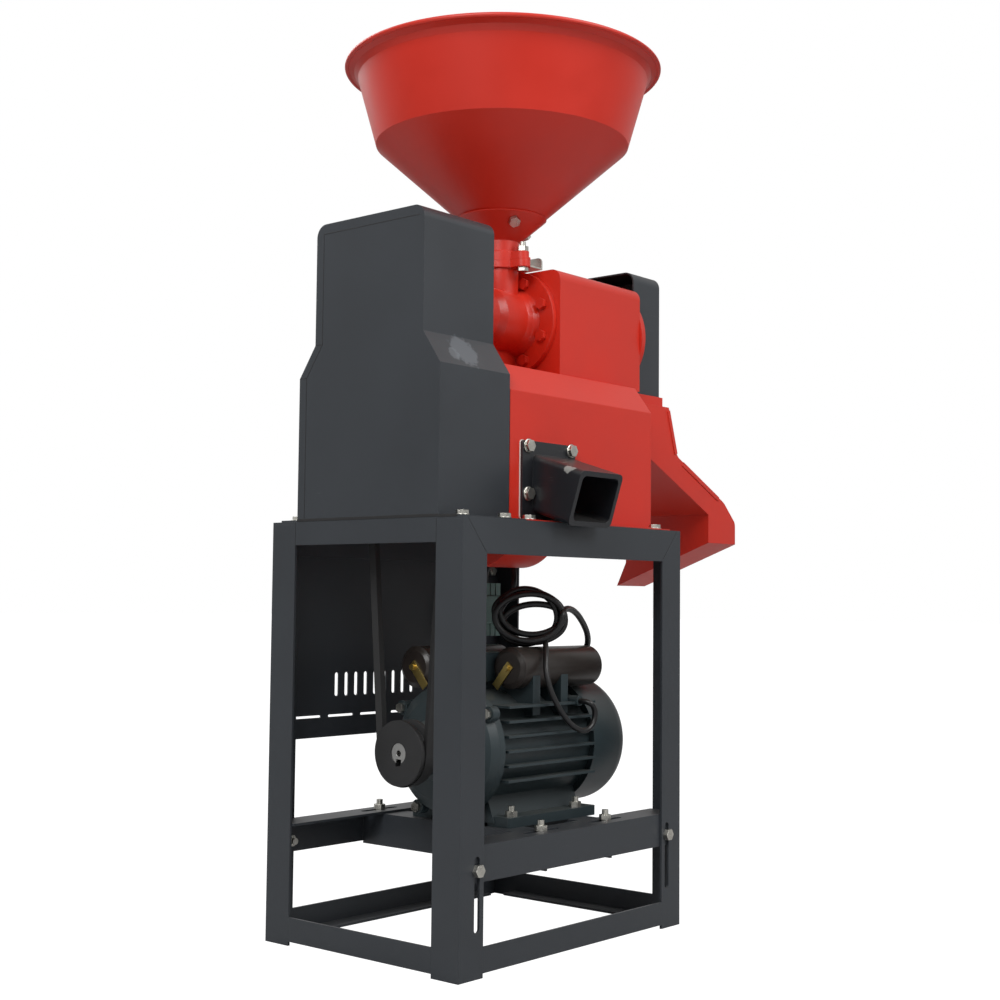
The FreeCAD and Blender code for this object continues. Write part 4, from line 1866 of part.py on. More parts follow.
NODES = {
    "leg_posts": leg_posts,
    "stand_rails": stand_rails,
    "motor_carriage": motor_carriage,
    "stand_bolts": stand_bolts,
    "belt_guard": belt_guard,
    "guard_back_plate": guard_back_plate,
    "bran_box": bran_box,
    "bran_slide": bran_slide,
    "outlet_gasket": outlet_gasket,
    "outlet_spout": outlet_spout,
    "outlet_bolts": outlet_bolts,
    "blower_housing": blower_housing,
    "blower_bearing": blower_bearing,
    "blower_shaft": blower_shaft,
    "blower_impeller": blower_impeller,
    "blower_pulley": blower_pulley,
    "drive_belt": drive_belt,
    "fan_belt": fan_belt,
    "huller_pulley": huller_pulley,
    "fan_drive_pulley": fan_drive_pulley,
    "motor_pulley": motor_pulley,
    "feed_housing": feed_housing,
    "flange_bolts": flange_bolts,
    "ball_bearings": ball_bearings,
    "main_shaft": main_shaft,
    "feed_screw": feed_screw,
    "hulling_roller": hulling_roller,
    "screen_set": screen_set,
    "hulling_blade": hulling_blade,
    "chamber_ends": chamber_ends,
    "chamber_cover": chamber_cover,
    "outlet_ring": outlet_ring,
    "gate_guide": gate_guide,
    "feed_gate": feed_gate,
    "hopper": hopper,
    "hopper_collar": hopper_collar,
    "hopper_bolts": hopper_bolts,
    "end_cover": end_cover,
    "pressure_plate": pressure_plate,
    "adjusting_screw": adjusting_screw,
    "adjusting_knob": adjusting_knob,
    "discharge_box": discharge_box,
    "rice_chute": rice_chute,
    "motor_frame": motor_frame,
    "end_shields": end_shields,
    "motor_bolts": motor_bolts,
    "motor_stator": motor_stator,
    "motor_rotor": motor_rotor,
    "cooling_fan": cooling_fan,
    "fan_cover": fan_cover,
    "capacitors": capacitors,
    "capacitor_straps": capacitor_straps,
    "terminal_box": terminal_box,
    "operator_panel": operator_panel,
    "circuit_breaker": circuit_breaker,
    "breaker_toggle": breaker_toggle,
    "cable_coil": cable_coil,
    "breaker_lead": breaker_lead,
    "motor_lead": motor_lead,
    "capacitor_lead": capacitor_lead,
}


def main():
    """Build every node, move it to the machine's origin and write its file."""
    os.makedirs("parts", exist_ok=True)
    shapes = {}
    for name, make in NODES.items():
        shapes[name] = make()
    box = FreeCAD.BoundBox()
    for shape in shapes.values():
        box.add(shape.BoundBox)
    origin = V((box.XMin + box.XMax) / 2.0, (box.YMin + box.YMax) / 2.0, box.ZMin)
    print("origin", origin)
    for name, shape in shapes.items():
        shape.translate(origin * -1)
        shape.exportStep("parts/" + name + ".step")
        print(name, len(shape.Solids), round(shape.Volume / 1000.0, 1), shape.isValid())


main()
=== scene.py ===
import logging
import math
from dataclasses import dataclass, field, replace
from enum import Enum
from typing import Iterable, Sequence

import bmesh
import bpy
from mathutils import Matrix, Vector


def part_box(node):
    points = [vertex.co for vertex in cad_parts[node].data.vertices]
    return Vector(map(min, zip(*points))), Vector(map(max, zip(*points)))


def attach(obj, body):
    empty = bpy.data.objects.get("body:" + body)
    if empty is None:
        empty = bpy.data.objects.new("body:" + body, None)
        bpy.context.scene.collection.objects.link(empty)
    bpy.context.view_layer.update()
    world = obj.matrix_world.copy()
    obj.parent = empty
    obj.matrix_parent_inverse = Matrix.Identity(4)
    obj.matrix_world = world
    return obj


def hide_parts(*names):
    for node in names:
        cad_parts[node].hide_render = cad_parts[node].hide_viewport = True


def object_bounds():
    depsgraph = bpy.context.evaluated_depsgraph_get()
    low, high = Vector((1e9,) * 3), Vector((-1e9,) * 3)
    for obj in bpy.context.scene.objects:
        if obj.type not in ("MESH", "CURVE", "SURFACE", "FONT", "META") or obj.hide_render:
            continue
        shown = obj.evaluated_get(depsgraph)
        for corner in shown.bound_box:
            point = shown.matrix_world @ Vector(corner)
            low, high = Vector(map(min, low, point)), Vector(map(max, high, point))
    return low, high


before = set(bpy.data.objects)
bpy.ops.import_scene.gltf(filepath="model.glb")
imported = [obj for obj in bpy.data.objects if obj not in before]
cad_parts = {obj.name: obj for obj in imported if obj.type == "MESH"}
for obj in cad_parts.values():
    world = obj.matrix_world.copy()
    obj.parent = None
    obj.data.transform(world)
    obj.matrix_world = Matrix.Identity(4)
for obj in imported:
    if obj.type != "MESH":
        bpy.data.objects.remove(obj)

CAD_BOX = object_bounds()
LOG = logging.getLogger("rice_huller")
MM = 0.001
Point = tuple[float, float, float]
Socket = bpy.types.NodeSocket
Tree = bpy.types.NodeTree
Piece = bpy.types.Object
Material = bpy.types.Material


# ---- places ----------------------------------------------------------------------------
class Datum:
    """Turns stand coordinates in millimetres into the frame's metres.

    Stand coordinates start at the lower near-left corner of the legs, with X along the
    shafts, Y towards the operator's panel and Z up.
    """

    def __init__(self) -> None:
        """Reads the corner of the legs once."""
        self.corner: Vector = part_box("leg_posts")[0]

    def at(self, x: float, y: float, z: float) -> Vector:
        """Returns the frame's point for a place on the stand.

        Args:
            x: Millimetres along the shafts.
            y: Millimetres towards the operator's panel.
            z: Millimetres above the floor.

        Returns:
            The point in metres.
        """
        return self.corner + Vector((x, y, z)) * MM

    def line(self, points: Iterable[Point]) -> list[Vector]:
        """Returns the frame's points for several places on the stand."""
        return [self.at(*point) for point in points]


DATUM = Datum()


# ---- shader groups ---------------------------------------------------------------------
class Grain(Enum):
    """Relief of a surface."""

    POWDER = "powder coat"
    CAST = "sand casting"
    BRUSHED = "drawn metal"
    MOULDED = "moulded"


class TreeBuilder:
    """A node group with its input and output nodes."""

    def __init__(self, name: str, kind: str) -> None:
        """Starts an empty group.

        Args:
            name: The group's name.
            kind: Blender's name for the kind of node tree.
        """
        self.tree = bpy.data.node_groups.new(name, kind)
        self.entry = self.tree.nodes.new("NodeGroupInput")
        self.exit = self.tree.nodes.new("NodeGroupOutput")

    def node(self, kind: str, **settings: object) -> bpy.types.Node:
        """Adds a node and sets its properties."""
        made = self.tree.nodes.new(kind)
        for key, value in settings.items():
            setattr(made, key, value)
        return made

    def link(self, source: Socket, target: Socket) -> None:
        """Joins two sockets."""
        self.tree.links.new(source, target)


class GroupBuilder(TreeBuilder):
    """Builds one shader node group with named sockets."""

    def __init__(self, name: str) -> None:
        """Starts an empty shader group."""
        super().__init__(name, "ShaderNodeTree")

    def value_in(self, name: str, default: float) -> Socket:
        """Adds a number input and returns its socket inside the group."""
        socket = self.tree.interface.new_socket(name, in_out="INPUT", socket_type="NodeSocketFloat")
        socket.default_value = default
        return self.entry.outputs[name]

    def vector_in(self, name: str) -> Socket:
        """Adds a vector input and returns its socket inside the group."""
        self.tree.interface.new_socket(name, in_out="INPUT", socket_type="NodeSocketVector")
        return self.entry.outputs[name]

    def value_out(self, name: str, source: Socket) -> None:
        """Adds a number output fed by source."""
        self.tree.interface.new_socket(name, in_out="OUTPUT", socket_type="NodeSocketFloat")
        self.tree.links.new(source, self.exit.inputs[name])

    def maths(self, operation: str, first: object, second: object = 0.0) -> Socket:
        """Adds a Math node and returns its result.

        Args:
            operation: The Math node's operation.
            first: A socket or a number.
            second: A socket or a number.

        Returns:
            The node's output socket.
        """
        made = self.node("ShaderNodeMath", operation=operation)
        for index, value in enumerate((first, second)):
            if isinstance(value, (int, float)):
                made.inputs[index].default_value = value
            else:
                self.link(value, made.inputs[index])
        return made.outputs[0]

    def noise(self, vector: Socket, scale: object, detail: float,
              roughness: float = 0.5) -> Socket:
        """Adds a Noise texture and returns its value."""
        made = self.node("ShaderNodeTexNoise")
        made.inputs["Detail"].default_value = detail
        made.inputs["Roughness"].default_value = roughness
        self.link(vector, made.inputs["Vector"])
        if isinstance(scale, (int, float)):
            made.inputs["Scale"].default_value = scale
        else:
            self.link(scale, made.inputs["Scale"])
        return made.outputs["Fac"]

    def span(self, value: Socket, low: float, high: float, to_low: float = 0.0,
             to_high: float = 1.0) -> Socket:
        """Adds a clamped Map Range and returns its result."""
        made = self.node("ShaderNodeMapRange")
        self.link(value, made.inputs["Value"])
        made.inputs["From Min"].default_value = low
        made.inputs["From Max"].default_value = high
        made.inputs["To Min"].default_value = to_low
        made.inputs["To Max"].default_value = to_high
        return made.outputs["Result"]


class Effects:
    """The shared surface effects, each built once."""

    def __init__(self) -> None:
        """Builds every group."""
        self.mottle = self._mottle()
        self.scuffs = self._scuffs()
        self.dust = self._dust()
        self.spot = self._spot()
        self.grain = {kind: self._grain(kind) for kind in Grain}

    def _mottle(self) -> Tree:
        """Slow change of shade from 0 to 1 over a surface."""
        group = GroupBuilder("slow_mottle")
        place = group.vector_in("Vector")
        scale = group.value_in("Scale", 9.0)
        broad = group.noise(place, scale, 3.0, 0.55)
        group.value_out("Value", group.span(broad, 0.3, 0.7))
        return group.tree

    def _scuffs(self) -> Tree:
        """Thin sparse scratches and rubs as a mask."""
        group = GroupBuilder("handling_scuffs")
        place = group.vector_in("Vector")
        scale = group.value_in("Scale", 30.0)
        amount = group.value_in("Amount", 0.3)
        stretched = group.node("ShaderNodeMapping")
        stretched.inputs["Scale"].default_value = (1.0, 1.0, 9.0)
        stretched.inputs["Rotation"].default_value = (0.5, 0.2, 0.7)
        group.link(place, stretched.inputs["Vector"])
        fine = group.noise(stretched.outputs[0], scale, 6.0, 0.7)
        patch = group.noise(place, 7.0, 2.0)
        lines = group.span(fine, 0.66, 0.72)
        held = group.span(patch, 0.52, 0.68)
        mask = group.maths("MULTIPLY", group.maths("MULTIPLY", lines, held), amount)
        group.value_out("Mask", mask)
        return group.tree

    def _dust(self) -> Tree:
        """Fine dust that gathers on faces that look up."""
        group = GroupBuilder("settled_dust")
        place = group.vector_in("Vector")
        amount = group.value_in("Amount", 0.2)
        facing = group.node("ShaderNodeNewGeometry")
        parts = group.node("ShaderNodeSeparateXYZ")
        group.link(facing.outputs["Normal"], parts.inputs[0])
        upward = group.span(parts.outputs["Z"], 0.2, 0.95)
        cloud = group.noise(place, 18.0, 5.0, 0.6)
        broken = group.span(cloud, 0.35, 0.75, 0.35, 1.0)
        mask = group.maths("MULTIPLY", group.maths("MULTIPLY", upward, broken), amount)
        group.value_out("Mask", mask)
        return group.tree

    def _spot(self) -> Tree:
        """Ragged patch round a point."""
        group = GroupBuilder("ragged_spot")
        place = group.vector_in("Vector")
        centre = group.vector_in("Centre")
        radius = group.value_in("Radius", 0.01)
        scale = group.value_in("Scale", 160.0)
        away = group.node("ShaderNodeVectorMath", operation="DISTANCE")
        group.link(place, away.inputs[0])
        group.link(centre, away.inputs[1])
        share = group.maths("DIVIDE", away.outputs["Value"], radius)
        ragged = group.noise(place, scale, 5.0, 0.65)
        edge = group.maths("ADD", share, group.maths("MULTIPLY", ragged, 1.2))
        group.value_out("Mask", group.span(edge, 1.65, 1.45))
        return group.tree

    def _grain(self, kind: Grain) -> Tree:
        """Relief of one kind of surface, as a height from 0 to 1.

        Args:
            kind: Which relief to build.

        Returns:
            The group's tree.
        """
        group = GroupBuilder(kind.name.lower() + "_grain")
        place = group.vector_in("Vector")
        scale = group.value_in("Scale", 1.0)
        sized = group.node("ShaderNodeVectorMath", operation="SCALE")
        group.link(place, sized.inputs[0])
        group.link(scale, sized.inputs["Scale"])
        source = sized.outputs[0]
        if kind is Grain.BRUSHED:
            drawn = group.node("ShaderNodeMapping")
            drawn.inputs["Scale"].default_value = (1.0, 1.0, 0.06)
            group.link(source, drawn.inputs["Vector"])
            height = group.noise(drawn.outputs[0], 900.0, 3.0)
        elif kind is Grain.CAST:
            rough = group.noise(source, 260.0, 6.0, 0.6)
            lumps = group.noise(source, 60.0, 2.0)
            height = group.maths("ADD", group.maths("MULTIPLY", rough, 0.45),
                                 group.maths("MULTIPLY", lumps, 0.55))
        elif kind is Grain.MOULDED:
            height = group.noise(source, 1400.0, 2.0)
        else:
            peel = group.noise(source, 420.0, 2.0, 0.4)
            waves = group.noise(source, 45.0, 1.0)
            height = group.maths("ADD", group.maths("MULTIPLY", peel, 0.6),
                                 group.maths("MULTIPLY", waves, 0.4))
        group.value_out("Height", height)
        return group.tree


# ---- finishes --------------------------------------------------------------------------
@dataclass(frozen=True)
class WornSpot:
    """A chip, rub or smudge at one place of a finish.

    Attributes:
        centre: Its middle in stand coordinates.
        radius: Its size in millimetres.
        colour: What shows there.
        strength: How much of it shows.
    """

    centre: Point
    radius: float
    colour: tuple[float, float, float]
    strength: float = 1.0


def linear(colour: Sequence[float]) -> tuple[float, float, float, float]:
    """Turns a display colour from 0 to 255 into linear light with full alpha."""
    result = []
    for part in colour:
        share = part / 255.0
        result.append(share / 12.92 if share <= 0.04045 else ((share + 0.055) / 1.055) ** 2.4)
    return (result[0], result[1], result[2], 1.0)


@dataclass(frozen=True)
class Finish:
    """One surface finish of the machine.

    Attributes:
        name: The material's name.
        colour: Display colour from 0 to 255.
        roughness: Middle roughness.
        grain: Kind of relief.
        metallic: Metal share.
        grain_depth: Height of the relief in millimetres.
        mottle: How far the shade wanders.
        mottle_scale: Frequency of that wander.
        scuffs: Amount of light scratches.
        scuff_colour: What shows in a scratch.
        dust: Amount of dust on upper faces.
        edge: Radius in millimetres of the softened edges.
        spots: Marks at fixed places.
    """

    name: str
    colour: tuple[float, float, float]
    roughness: float
    grain: Grain = Grain.POWDER
    metallic: float = 0.0
    grain_depth: float = 0.03
    mottle: float = 0.08
    mottle_scale: float = 9.0
    scuffs: float = 0.25
    scuff_colour: tuple[float, float, float] = (150.0, 150.0, 148.0)
    dust: float = 0.12
    edge: float = 0.7
    spots: tuple[WornSpot, ...] = ()

    def build(self, effects: Effects) -> Material:
        """Builds the finish's material.

        Args:
            effects: The shared node groups.

        Returns:
            The new material.
        """
        material = bpy.data.materials.new(self.name)
        material.use_nodes = True
        material.diffuse_color = linear(self.colour)
        tree = material.node_tree
        shader = tree.nodes["Principled BSDF"]
        place = tree.nodes.new("ShaderNodeTexCoord").outputs["Object"]

        def group(of: Tree, **values: float) -> bpy.types.Node:
            made = tree.nodes.new("ShaderNodeGroup")
            made.node_tree = of
            tree.links.new(place, made.inputs["Vector"])
            for key, value in values.items():
                made.inputs[key].default_value = value
            return made

        def mixed(factor: Socket, first: object, second: object
                  ) -> Socket:
            made = tree.nodes.new("ShaderNodeMix")
            made.data_type = "RGBA"
            tree.links.new(factor, made.inputs["Factor"])
            for socket, value in ((made.inputs[6], first), (made.inputs[7], second)):
                if isinstance(value, tuple):
                    socket.default_value = value
                else:
                    tree.links.new(value, socket)
            return made.outputs[2]

        base = linear(self.colour)
        dark = tuple(part * (1.0 - self.mottle) for part in base[:3]) + (1.0,)
        light = tuple(min(1.0, part * (1.0 + self.mottle)) for part in base[:3]) + (1.0,)
        cloud = group(effects.mottle, Scale=self.mottle_scale)
        colour = mixed(cloud.outputs[0], dark, light)
        scuffs = group(effects.scuffs, Amount=self.scuffs)
        colour = mixed(scuffs.outputs[0], colour, linear(self.scuff_colour))
        for spot in self.spots:
            mark = group(effects.spot, Radius=spot.radius * MM)
            mark.inputs["Centre"].default_value = DATUM.at(*spot.centre)
            held = tree.nodes.new("ShaderNodeMath")
            held.operation = "MULTIPLY"
            held.inputs[1].default_value = spot.strength
            tree.links.new(mark.outputs[0], held.inputs[0])
            colour = mixed(held.outputs[0], colour, linear(spot.colour))
        dust = group(effects.dust, Amount=self.dust)
        colour = mixed(dust.outputs[0], colour, linear((168.0, 160.0, 148.0)))
        tree.links.new(colour, shader.inputs["Base Color"])
        rough = tree.nodes.new("ShaderNodeMapRange")
        tree.links.new(cloud.outputs[0], rough.inputs["Value"])
        rough.inputs["To Min"].default_value = max(0.05, self.roughness - 0.05)
        rough.inputs["To Max"].default_value = min(1.0, self.roughness + 0.06)
        tree.links.new(rough.outputs[0], shader.inputs["Roughness"])
        shader.inputs["Metallic"].default_value = self.metallic
        relief = group(effects.grain[self.grain])
        bump = tree.nodes.new("ShaderNodeBump")
        bump.inputs["Distance"].default_value = self.grain_depth * MM
        bump.inputs["Strength"].default_value = 1.0
        tree.links.new(relief.outputs[0], bump.inputs["Height"])
        if self.edge > 0.0:
            soft = tree.nodes.new("ShaderNodeBevel")
            soft.samples = 4
            soft.inputs["Radius"].default_value = self.edge * MM
            tree.links.new(soft.outputs[0], bump.inputs["Normal"])
        tree.links.new(bump.outputs[0], shader.inputs["Normal"])
        return material


class Finishes:
    """Every finish of the machine, built once and handed out by name."""

    def __init__(self) -> None:
        """Lists the finishes and builds their materials."""
        red = Finish("red_powder_coat", (204, 42, 24), 0.4, dust=0.05, scuffs=0.12,
                     scuff_colour=(226, 110, 92), mottle=0.05)
        grey = Finish("grey_powder_coat", (46, 50, 55), 0.45, grain_depth=0.04, dust=0.08,
                      scuffs=0.22, mottle=0.07)
        motor = Finish("motor_enamel", (42, 54, 58), 0.45, Grain.CAST, grain_depth=0.12,
                       scuffs=0.2, dust=0.15)
        self.listed: dict[str, Finish] = {
            "red": red,
            "red_cast": replace(red, name="red_painted_casting", grain=Grain.CAST,
                                grain_depth=0.5, roughness=0.34, edge=1.5),
            "grey": grey,
            "grey_guard": replace(grey, name="grey_guard_coat", spots=(
                WornSpot((55.0, 51.0, 692.0), 22.0, (112, 118, 124), 0.5),
                WornSpot((34.0, 47.0, 687.0), 9.0, (112, 118, 124), 0.45))),
            "grey_spout": replace(grey, name="grey_spout_coat", colour=(27, 29, 33),
                                  roughness=0.36, scuffs=0.5, spots=(
                WornSpot((159.0, -18.0, 562.0), 6.0, (150, 150, 146), 0.9),
                WornSpot((164.0, -24.0, 560.0), 4.0, (150, 150, 146), 0.8))),
            "motor": motor,
            "motor_sheet": replace(motor, name="motor_sheet_enamel", grain=Grain.POWDER,
                                   grain_depth=0.03, roughness=0.38),
            "zinc": Finish("bright_zinc", (196, 194, 186), 0.3, Grain.MOULDED, 1.0, 0.01,
                           mottle=0.2, mottle_scale=70.0, scuffs=0.1, dust=0.05, edge=0.5),
            "steel": Finish("machined_steel", (176, 176, 174), 0.32, Grain.BRUSHED, 1.0, 0.012,
                            mottle=0.12, scuffs=0.1, dust=0.02),
            "iron": Finish("black_iron", (46, 46, 47), 0.5, Grain.CAST, 0.35, 0.15,
                           mottle=0.2, scuffs=0.3, dust=0.05),
            "belt": Finish("belt_rubber", (24, 24, 25), 0.62, Grain.MOULDED, grain_depth=0.03,
                           mottle=0.25, scuffs=0.2, scuff_colour=(70, 70, 70), dust=0.1),
            "cable": Finish("cable_sheath", (17, 17, 19), 0.38, Grain.MOULDED,
                            grain_depth=0.01, mottle=0.2, scuffs=0.1,
                            scuff_colour=(80, 80, 80), edge=0.0),
            "gasket": Finish("foam_gasket", (214, 214, 208), 0.8, Grain.MOULDED,
                             grain_depth=0.08, scuffs=0.05, dust=0.0),
            "plastic": Finish("black_moulding", (26, 26, 27), 0.42, Grain.MOULDED,
                              grain_depth=0.02, mottle=0.15, scuffs=0.1),
            "capacitor": Finish("capacitor_shell", (44, 38, 35), 0.33, Grain.MOULDED,
                                grain_depth=0.01, mottle=0.12, scuffs=0.1, dust=0.1),
            "brass": Finish("brass_strip", (196, 172, 104), 0.34, Grain.BRUSHED, 1.0, 0.01,
                            mottle=0.15, scuffs=0.1, dust=0.0, edge=0.3),
            "breaker": Finish("breaker_shell", (104, 136, 130), 0.5, Grain.MOULDED,
                              grain_depth=0.02, mottle=0.08, scuffs=0.05, dust=0.05),
        }
        effects = Effects()
        self.built = {key: finish.build(effects) for key, finish in self.listed.items()}

    def __getitem__(self, key: str) -> Material:
        """Returns the material of one finish."""
        return self.built[key]


FINISH_OF_NODE: dict[str, str] = {
    "bran_box": "red", "bran_slide": "red", "blower_housing": "red", "feed_housing": "red_cast",
    "chamber_cover": "red", "chamber_ends": "red_cast", "outlet_ring": "red_cast",
    "gate_guide": "red", "hopper": "red", "hopper_collar": "red", "discharge_box": "red",
    "rice_chute": "red", "leg_posts": "grey", "stand_rails": "grey", "motor_carriage": "grey",
    "belt_guard": "grey_guard", "guard_back_plate": "grey", "outlet_spout": "grey_spout",
    "end_cover": "grey", "operator_panel": "grey", "stand_bolts": "zinc",
    "outlet_bolts": "zinc", "flange_bolts": "red", "hopper_bolts": "zinc",
    "motor_bolts": "zinc", "feed_gate": "zinc", "blower_impeller": "zinc",
    "blower_shaft": "steel", "ball_bearings": "steel", "main_shaft": "steel",
    "screen_set": "steel", "hulling_blade": "steel", "pressure_plate": "steel",
    "adjusting_screw": "steel", "motor_rotor": "steel", "motor_stator": "steel",
    "blower_bearing": "iron", "blower_pulley": "iron", "huller_pulley": "iron",
    "fan_drive_pulley": "iron", "motor_pulley": "iron", "feed_screw": "iron",
    "hulling_roller": "iron", "motor_frame": "motor", "end_shields": "motor",
    "fan_cover": "motor_sheet", "terminal_box": "motor_sheet", "drive_belt": "belt",
    "fan_belt": "belt", "outlet_gasket": "gasket", "adjusting_knob": "plastic",
    "cooling_fan": "plastic", "breaker_toggle": "plastic", "capacitors": "capacitor",
    "capacitor_straps": "brass", "circuit_breaker": "breaker", "cable_coil": "cable",
    "breaker_lead": "cable", "motor_lead": "cable", "capacitor_lead": "cable",
}


def dress_nodes(finishes: Finishes) -> None:
    """Gives every carried-over CAD node its finish.

    Args:
        finishes: The built finishes.
    """
    for name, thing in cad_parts.items():
        material = finishes[FINISH_OF_NODE[name]]
        for slot in thing.material_slots:
            slot.material = material


# ---- mesh and geometry-node helpers ----------------------------------------------------
def mesh_object(name: str, mesh: bpy.types.Mesh) -> Piece:
    """Links a mesh into the scene as an object at the origin."""
    thing = bpy.data.objects.new(name, mesh)
    bpy.context.scene.collection.objects.link(thing)
    return thing


def point_cloud(name: str, places: Sequence[Vector], facings: Sequence[Vector]
                ) -> Piece:
    """Makes a mesh of loose vertices that carry a direction each.

    Args:
        name: The object's name.
        places: Where the vertices lie.
        facings: The direction stored with each vertex.

    Returns:
        The new object.
    """
    mesh = bpy.data.meshes.new(name)
    mesh.from_pydata([tuple(place) for place in places], [], [])
    stored = mesh.attributes.new("facing", "FLOAT_VECTOR", "POINT")
    for index, facing in enumerate(facings):
        stored.data[index].vector = facing
    return mesh_object(name, mesh)


class NodeTree(TreeBuilder):
    """Builds one geometry node tree."""

    def __init__(self, name: str) -> None:
        """Starts a tree with a geometry input and output."""
        super().__init__(name, "GeometryNodeTree")
        for side in ("INPUT", "OUTPUT"):
            self.tree.interface.new_socket("Geometry", in_out=side,
                                           socket_type="NodeSocketGeometry")

    def size(self, name: str, default: float) -> Socket:
        """Adds a named length or count input."""
        socket = self.tree.interface.new_socket(name, in_out="INPUT",
                                                socket_type="NodeSocketFloat")
        socket.default_value = default
        return self.entry.outputs[name]

    def finish(self) -> Socket:
        """Adds the material input."""
        self.tree.interface.new_socket("Finish", in_out="INPUT",
                                       socket_type="NodeSocketMaterial")
        return self.entry.outputs["Finish"]

    def close(self, geometry: Socket, finish: Socket) -> None:
        """Ends the tree in Realize Instances and Set Material."""
        realized = self.node("GeometryNodeRealizeInstances")
        painted = self.node("GeometryNodeSetMaterial")
        self.link(geometry, realized.inputs[0])
        self.link(realized.outputs[0], painted.inputs["Geometry"])
        self.link(finish, painted.inputs["Material"])
        self.link(painted.outputs[0], self.exit.inputs[0])


def grow(source: Piece, tree: Tree, name: str,
         **values: object) -> Piece:
    """Runs a geometry node tree on an object and keeps the result as a plain mesh.

    Args:
        source: The object that carries the points or the path; it is removed.
        tree: The node tree.
        name: The new piece's name.
        values: Values of the tree's named inputs, with underscores for spaces.

    Returns:
        The new piece.
    """
    modifier = source.modifiers.new("grow", "NODES")
    modifier.node_group = tree
    identifiers = {item.name: item.identifier for item in tree.interface.items_tree
                   if item.item_type == "SOCKET" and item.in_out == "INPUT"}
    for key, value in values.items():
        modifier[identifiers[key.replace("_", " ")]] = value
    bpy.context.view_layer.update()
    evaluated = source.evaluated_get(bpy.context.evaluated_depsgraph_get())
    mesh = bpy.data.meshes.new_from_object(evaluated)
    mesh.name = name
    source.modifiers.remove(modifier)
    bpy.data.objects.remove(source)
    return mesh_object(name, mesh)


class Growers:
    """The geometry node trees of the machine's repeated pieces."""

    def __init__(self) -> None:
        """Builds every tree once."""
        self.washers = self._washers()
        self.threads = self._threads()
        self.beads = self._beads()

    @staticmethod
    def _swept(tree: NodeTree, path: Socket, section: Socket, finish: Socket) -> Tree:
        """Sweeps a section along a path and puts the result on each point.

        Args:
            tree: The tree that is being built.
            path: The curve to follow.
            section: The closed curve to sweep.
            finish: The tree's material input.

        Returns:
            The finished tree, which turns each copy's Z along the stored direction.
        """
        swept = tree.node("GeometryNodeCurveToMesh")
        tree.link(path, swept.inputs["Curve"])
        tree.link(section, swept.inputs["Profile Curve"])
        facing = tree.node("GeometryNodeInputNamedAttribute", data_type="FLOAT_VECTOR")
        facing.inputs["Name"].default_value = "facing"
        turn = tree.node("FunctionNodeAlignRotationToVector", axis="Z")
        tree.link(facing.outputs["Attribute"], turn.inputs["Vector"])
        placed = tree.node("GeometryNodeInstanceOnPoints")
        tree.link(tree.entry.outputs[0], placed.inputs["Points"])
        tree.link(swept.outputs[0], placed.inputs["Instance"])
        tree.link(turn.outputs[0], placed.inputs["Rotation"])
        tree.close(placed.outputs[0], finish)
        return tree.tree

    def _washers(self) -> Tree:
        """Flat rings that lie round the foot of each head or nut."""
        tree = NodeTree("flat_washers")
        outer = tree.size("Radius", 0.0085)
        width = tree.size("Width", 0.003)
        thick = tree.size("Thickness", 0.0014)
        finish = tree.finish()
        circle = tree.node("GeometryNodeCurvePrimitiveCircle", mode="RADIUS")
        circle.inputs["Resolution"].default_value = 28
        tree.link(outer, circle.inputs["Radius"])
        section = tree.node("GeometryNodeCurvePrimitiveQuadrilateral", mode="RECTANGLE")
        tree.link(width, section.inputs["Width"])
        tree.link(thick, section.inputs["Height"])
        return self._swept(tree, circle.outputs[0], section.outputs[0], finish)

    def _threads(self) -> Tree:
        """Helical ridge on the free end of each bolt."""
        tree = NodeTree("bolt_threads")
        radius = tree.size("Radius", 0.004)
        height = tree.size("Height", 0.006)
        turns = tree.size("Turns", 5.0)
        ridge = tree.size("Ridge", 0.0005)
        finish = tree.finish()
        helix = tree.node("GeometryNodeCurveSpiral")
        helix.inputs["Resolution"].default_value = 16
        tree.link(turns, helix.inputs["Rotations"])
        tree.link(radius, helix.inputs["Start Radius"])
        tree.link(radius, helix.inputs["End Radius"])
        tree.link(height, helix.inputs["Height"])
        section = tree.node("GeometryNodeCurvePrimitiveCircle", mode="RADIUS")
        section.inputs["Resolution"].default_value = 4
        tree.link(ridge, section.inputs["Radius"])
        return self._swept(tree, helix.outputs[0], section.outputs[0], finish)

    def _beads(self) -> Tree:
        """Overlapping ripples of a weld along a path."""
        tree = NodeTree("weld_beads")
        radius = tree.size("Radius", 0.0022)
        spacing = tree.size("Spacing", 0.0014)
        finish = tree.finish()
        path = tree.node("GeometryNodeMeshToCurve")
        tree.link(tree.entry.outputs[0], path.inputs["Mesh"])
        stepped = tree.node("GeometryNodeCurveToPoints", mode="LENGTH")
        tree.link(path.outputs[0], stepped.inputs["Curve"])
        tree.link(spacing, stepped.inputs["Length"])
        ripple = tree.node("GeometryNodeMeshIcoSphere")
        ripple.inputs["Subdivisions"].default_value = 2
        tree.link(radius, ripple.inputs["Radius"])
        uneven = tree.node("FunctionNodeRandomValue", data_type="FLOAT")
        uneven.inputs[2].default_value = 0.75
        uneven.inputs[3].default_value = 1.2
        uneven.inputs["Seed"].default_value = 4
        placed = tree.node("GeometryNodeInstanceOnPoints")
        tree.link(stepped.outputs["Points"], placed.inputs["Points"])
        tree.link(ripple.outputs["Mesh"], placed.inputs["Instance"])
        tree.link(stepped.outputs["Rotation"], placed.inputs["Rotation"])
        tree.link(uneven.outputs[1], placed.inputs["Scale"])
        tree.close(placed.outputs[0], finish)
        return tree.tree


